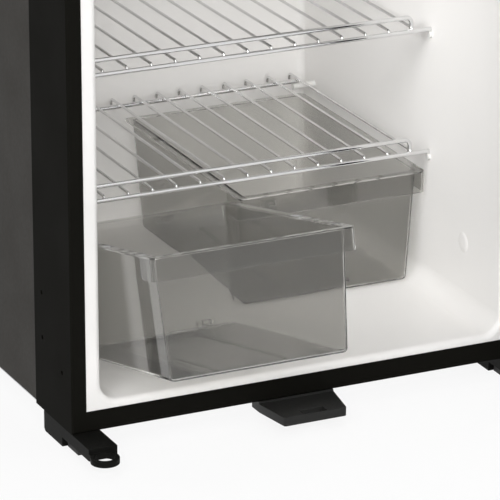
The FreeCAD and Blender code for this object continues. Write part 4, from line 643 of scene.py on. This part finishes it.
def rounded_bar(name, long, wide, high):
    """Raised printed mark along Z on a face that looks towards -X."""
    work = bmesh.new()
    bmesh.ops.create_cube(work, size=1.0)
    bmesh.ops.scale(work, vec=(high, wide, long), verts=work.verts)
    outer = [edge for edge in work.edges if edge.calc_face_angle() > 1.0]
    bmesh.ops.bevel(work, geom=outer, offset=0.35 * high, segments=2, affect="EDGES", profile=0.5)
    return from_work(name, work)


def screw_head(name, radius, high):
    """Domed screw head along Z with a cross recess."""
    outline = ((1.0, -0.2), (1.0, 0.3), (0.93, 0.55), (0.76, 0.79), (0.48, 0.95), (0.0, 1.0))
    work = turned([(radius * r, high * h) for r, h in outline], 28)
    bmesh.ops.holes_fill(work, edges=work.edges)
    bmesh.ops.recalc_face_normals(work, faces=work.faces)
    head = from_work(name, work)
    cross = bmesh.new()
    for wide, long in ((0.26, 1.15), (1.15, 0.26)):
        made = bmesh.ops.create_cube(cross, size=1.0)["verts"]
        bmesh.ops.scale(cross, vec=(radius * wide, radius * long, high), verts=made)
        bmesh.ops.translate(cross, vec=(0.0, 0.0, high), verts=made)
    cutter = from_work(name + "_cross", cross)
    cut = head.modifiers.new("cross", "BOOLEAN")
    cut.object = cutter
    cut.solver = "EXACT"
    cut.use_self = True
    graph = bpy.context.evaluated_depsgraph_get()
    head.data = bpy.data.meshes.new_from_object(head.evaluated_get(graph), depsgraph=graph)
    head.modifiers.clear()
    bpy.data.objects.remove(cutter)
    return head


def guard_screws():
    """Two rows of screws on the rear guard, each stopped at a turn of its own."""
    low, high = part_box("rear_guard")
    places = []
    for index, x in enumerate((low.x + SCREW_IN, -SCREW_MIDDLE, SCREW_MIDDLE, high.x - SCREW_IN)):
        for row, z in enumerate((low.z + SCREW_IN, high.z - SCREW_IN)):
            stop = 0.7 * index + 1.9 * row
            places.append(((x, high.y, z), (-math.pi / 2, stop, 0.0)))
    head = screw_head("guard_screw", SCREW_R, SCREW_HIGH)
    placed("rear_guard_screws", head, places, "bright_steel", "cabinet")


def wall_caps():
    """Low domed caps that close the fixing holes in the liner's side walls."""
    low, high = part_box("wall_plugs")
    outline = [(0.0, -CAP_STEM_LONG), (CAP_STEM_R, -CAP_STEM_LONG), (CAP_STEM_R, -CAP_SUNK), (CAP_R, -CAP_SUNK)]
    outline += [(CAP_R * share, CAP_PROUD * (1.0 - share ** 3)) for share in CAP_SHARES]
    outline.append((0.0, CAP_PROUD))
    middle_y, middle_z = (low.y + high.y) / 2, (low.z + high.z) / 2
    wall = high.x - PLUG_IN_WALL
    places = [((wall, middle_y, middle_z), (0.0, -math.pi / 2, 0.0)),
              ((-wall, middle_y, middle_z), (0.0, math.pi / 2, 0.0))]
    cap = from_work("wall_cap", turned(outline, 48))
    piece = placed("wall_caps", cap, places, SLOT_OF["wall_plugs"], "cabinet")
    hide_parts("wall_plugs")


def dial_marks():
    """Raised marks round the thermostat knob, and the pointer on the knob itself."""
    low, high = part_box("thermostat_knob")
    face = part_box("control_housing")[0].x
    middle_y, middle_z = (low.y + high.y) / 2, (low.z + high.z) / 2
    ring = (high.z - low.z) / 2 + DIAL_GAP
    places = []
    for index in range(DIAL_MARKS):
        angle = math.radians(DIAL_STEP * index)
        point = (face - MARK_SUNK, middle_y + ring * math.sin(angle), middle_z + ring * math.cos(angle))
        places.append((point, (-angle, 0.0, 0.0)))
    placed("dial_marks", rounded_bar("dial_mark", *DIAL_MARK), places, "black_plastic", "cabinet")
    point = (low.x - MARK_SUNK, middle_y, middle_z + POINTER_UP)
    placed("knob_pointer", rounded_bar("knob_mark", *POINTER_MARK), [(point, (0.0, 0.0, 0.0))], "white_plastic",
           "thermostat_knob")


def freezer_channels():
    """Raised refrigerant channels on the floor and the ceiling inside the freezer box."""
    low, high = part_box("evaporator_box")
    section = [(-0.0045, -0.0003), (0.0045, -0.0003), (0.0036, 0.0005), (0.0020, 0.0011), (0.0, 0.0013),
               (-0.0020, 0.0011), (-0.0036, 0.0005)]
    ends = (low.x + CHANNEL_IN, high.x - CHANNEL_IN)
    for name, level, flip in (("freezer_floor_channels", low.z + FREEZER_WALL, 1.0),
                              ("freezer_roof_channels", high.z - FREEZER_WALL, -1.0)):
        path = []
        for row in range(CHANNEL_ROWS):
            y = low.y + CHANNEL_IN + CHANNEL_APART * row
            path += [(x * flip, y, level) for x in (ends if row % 2 == 0 else ends[::-1])]
        mesh = skeleton(name, [path, [(u, -v * flip, 0.0) for u, v in section]], {"section": (1,)}, closed=(1,))
        piece = grown(name, mesh, SWEPT_TREE, {"Corner": CHANNEL_CORNER, "Corner Steps": BEND_STEPS,
                                               "Surface": LOOKS["cold_aluminium"]})
        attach(piece, "cabinet")


# Copies of nodes with slightly rounded edges, which catch the light

def softened(name, node, body, slot, width, angle):
    source = frame["nodes"][node]
    mesh = source.data.copy()
    mesh.transform(source.matrix_world)
    work = bmesh.new()
    work.from_mesh(mesh)
    bmesh.ops.remove_doubles(work, verts=work.verts, dist=SAME_POINT)
    bmesh.ops.dissolve_limit(work, angle_limit=math.radians(0.5), verts=work.verts, edges=work.edges)
    clean = bpy.data.meshes.new(name)
    work.to_mesh(clean)
    work.free()
    if "custom_normal" in clean.attributes:
        clean.attributes.remove(clean.attributes["custom_normal"])
    clean.shade_smooth()
    clean.materials.clear()
    clean.materials.append(LOOKS[slot])
    piece = bpy.data.objects.new(name, clean)
    scene.collection.objects.link(piece)
    round_over = piece.modifiers.new("round_over", "BEVEL")
    round_over.width = width
    round_over.segments = 2
    round_over.limit_method = "ANGLE"
    round_over.angle_limit = math.radians(angle)
    round_over.harden_normals = True
    graph = bpy.context.evaluated_depsgraph_get()
    made = bpy.data.meshes.new_from_object(piece.evaluated_get(graph), depsgraph=graph)
    work = bmesh.new()
    work.from_mesh(made)
    bmesh.ops.dissolve_degenerate(work, dist=FLAT_FACE, edges=work.edges)
    work.to_mesh(made)
    work.free()
    piece.modifiers.clear()
    piece.data = made
    made.name = name
    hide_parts(node)
    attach(piece, body)


# Stage

def looked_at(tree):
    """One for rays from the camera, from metal or through glass, which see the white background."""
    rays = add(tree, "ShaderNodeLightPath").outputs
    seen = maths(tree, "MAXIMUM", rays["Is Camera Ray"], rays["Is Glossy Ray"])
    return maths(tree, "MAXIMUM", seen, rays["Is Transmission Ray"])


def floor():
    mesh = bpy.data.meshes.new("studio_floor")
    corners = ((-1, -1), (1, -1), (1, 1), (-1, 1))
    mesh.from_pydata([(x * FLOOR_REACH, y * FLOOR_REACH, FLOOR_Z) for x, y in corners], [], [(0, 1, 2, 3)])
    made, tree, shader, place = blank("floor_paper")
    tint = noise(tree, place, 1.5, 2.0)
    tree.links.new(mixed(tree, tint, (0.92, 0.92, 0.92), (0.94, 0.94, 0.94)), shader.inputs["Base Color"])
    shader.inputs["Roughness"].default_value = 0.8
    white = add(tree, "ShaderNodeEmission", {"Color": (1.0, 1.0, 1.0, 1.0), "Strength": 1.0})
    share = maths(tree, "MULTIPLY", looked_at(tree), FLOOR_WHITE)
    mix = add(tree, "ShaderNodeMixShader", {0: share, 1: shader.outputs["BSDF"], 2: white.outputs["Emission"]})
    tree.links.new(mix.outputs["Shader"], tree.nodes["Material Output"].inputs["Surface"])
    mesh.materials.append(made)
    plane = bpy.data.objects.new("studio_floor", mesh)
    scene.collection.objects.link(plane)


def softbox(name, place, target, size, power, spread=180.0):
    """Round lamp aimed at a target. The spread is its beam in degrees."""
    light = bpy.data.lights.new(name, "AREA")
    light.spread = math.radians(spread)
    light.shape = "DISK"
    light.size = size
    light.energy = power
    lamp = bpy.data.objects.new(name, light)
    lamp.location = place
    lamp.rotation_euler = (Vector(target) - Vector(place)).to_track_quat("-Z", "Y").to_euler()
    lamp.visible_camera = False
    scene.collection.objects.link(lamp)


def sky():
    """Soft light that is stronger from above, and white where it is looked at."""
    world = bpy.data.worlds.new("studio")
    world.use_nodes = True
    scene.world = world
    tree = world.node_tree
    plain = tree.nodes["Background"]
    plain.inputs["Color"].default_value = (0.97, 0.98, 1.0, 1.0)
    aim = add(tree, "ShaderNodeSeparateXYZ", {0: add(tree, "ShaderNodeTexCoord").outputs["Generated"]})
    tree.links.new(span(tree, aim.outputs["Z"], 0.0, 0.7, 0.08, 0.40), plain.inputs["Strength"])
    white = add(tree, "ShaderNodeBackground", {"Color": (1.0, 1.0, 1.0, 1.0), "Strength": 1.0})
    mix = add(tree, "ShaderNodeMixShader", {0: looked_at(tree), 1: plain.outputs["Background"],
                                            2: white.outputs["Background"]})
    tree.links.new(mix.outputs["Shader"], tree.nodes["World Output"].inputs["Surface"])


def camera():
    lens_data = bpy.data.cameras.new("photo_view")
    lens_data.lens = CAMERA_LENS
    lens_data.sensor_width = 36.0
    lens_data.clip_end = 60.0
    eye = bpy.data.objects.new("photo_view", lens_data)
    eye.location = CAMERA_PLACE
    eye.rotation_euler = (math.radians(90.0 - CAMERA_PITCH), 0.0, math.radians(-CAMERA_YAW))
    scene.collection.objects.link(eye)
    scene.camera = eye


dress_nodes()
SHELF_TREE = welded_wires_tree()
SWEPT_TREE = swept_tree()
PLACED_TREE = placed_tree()
wire_shelf("lower_shelf_wires", "lower_wire_shelf", SHELF_TREE)
wire_shelf("upper_shelf_wires", "upper_wire_shelf", SHELF_TREE)
door_seal()
guard_screws()
wall_caps()
dial_marks()
freezer_channels()
softened("left_tub", "left_bin", "left_bin", "smoky_clear", *BIN_EDGE)
softened("right_tub", "right_bin", "right_bin", "smoky_clear", *BIN_EDGE)
softened("left_bracket", "left_hinge_bracket", "cabinet", "bracket_black", *BRACKET_EDGE)
softened("right_bracket", "right_hinge_bracket", "cabinet", "bracket_black", *BRACKET_EDGE)
softened("slotted_tab", "catch_tab", "cabinet", "black_plastic", *BRACKET_EDGE)
floor()
sky()
softbox("key_light", (-2.4, -2.4, 2.2), (0.05, 0.0, 0.30), 1.6, 47.0)
softbox("front_light", (-1.0, -3.7, 1.5), (0.0, 0.0, 0.25), 2.4, 57.0)
softbox("top_light", (0.0, -0.6, 3.2), (0.0, -0.6, 0.0), 2.4, 24.0)
softbox("cabinet_light", (-0.15, -0.30, 0.55), (0.225, -0.02, 0.22), 0.18, 0.28, 80.0)
camera()
scene.view_settings.view_transform = "Standard"
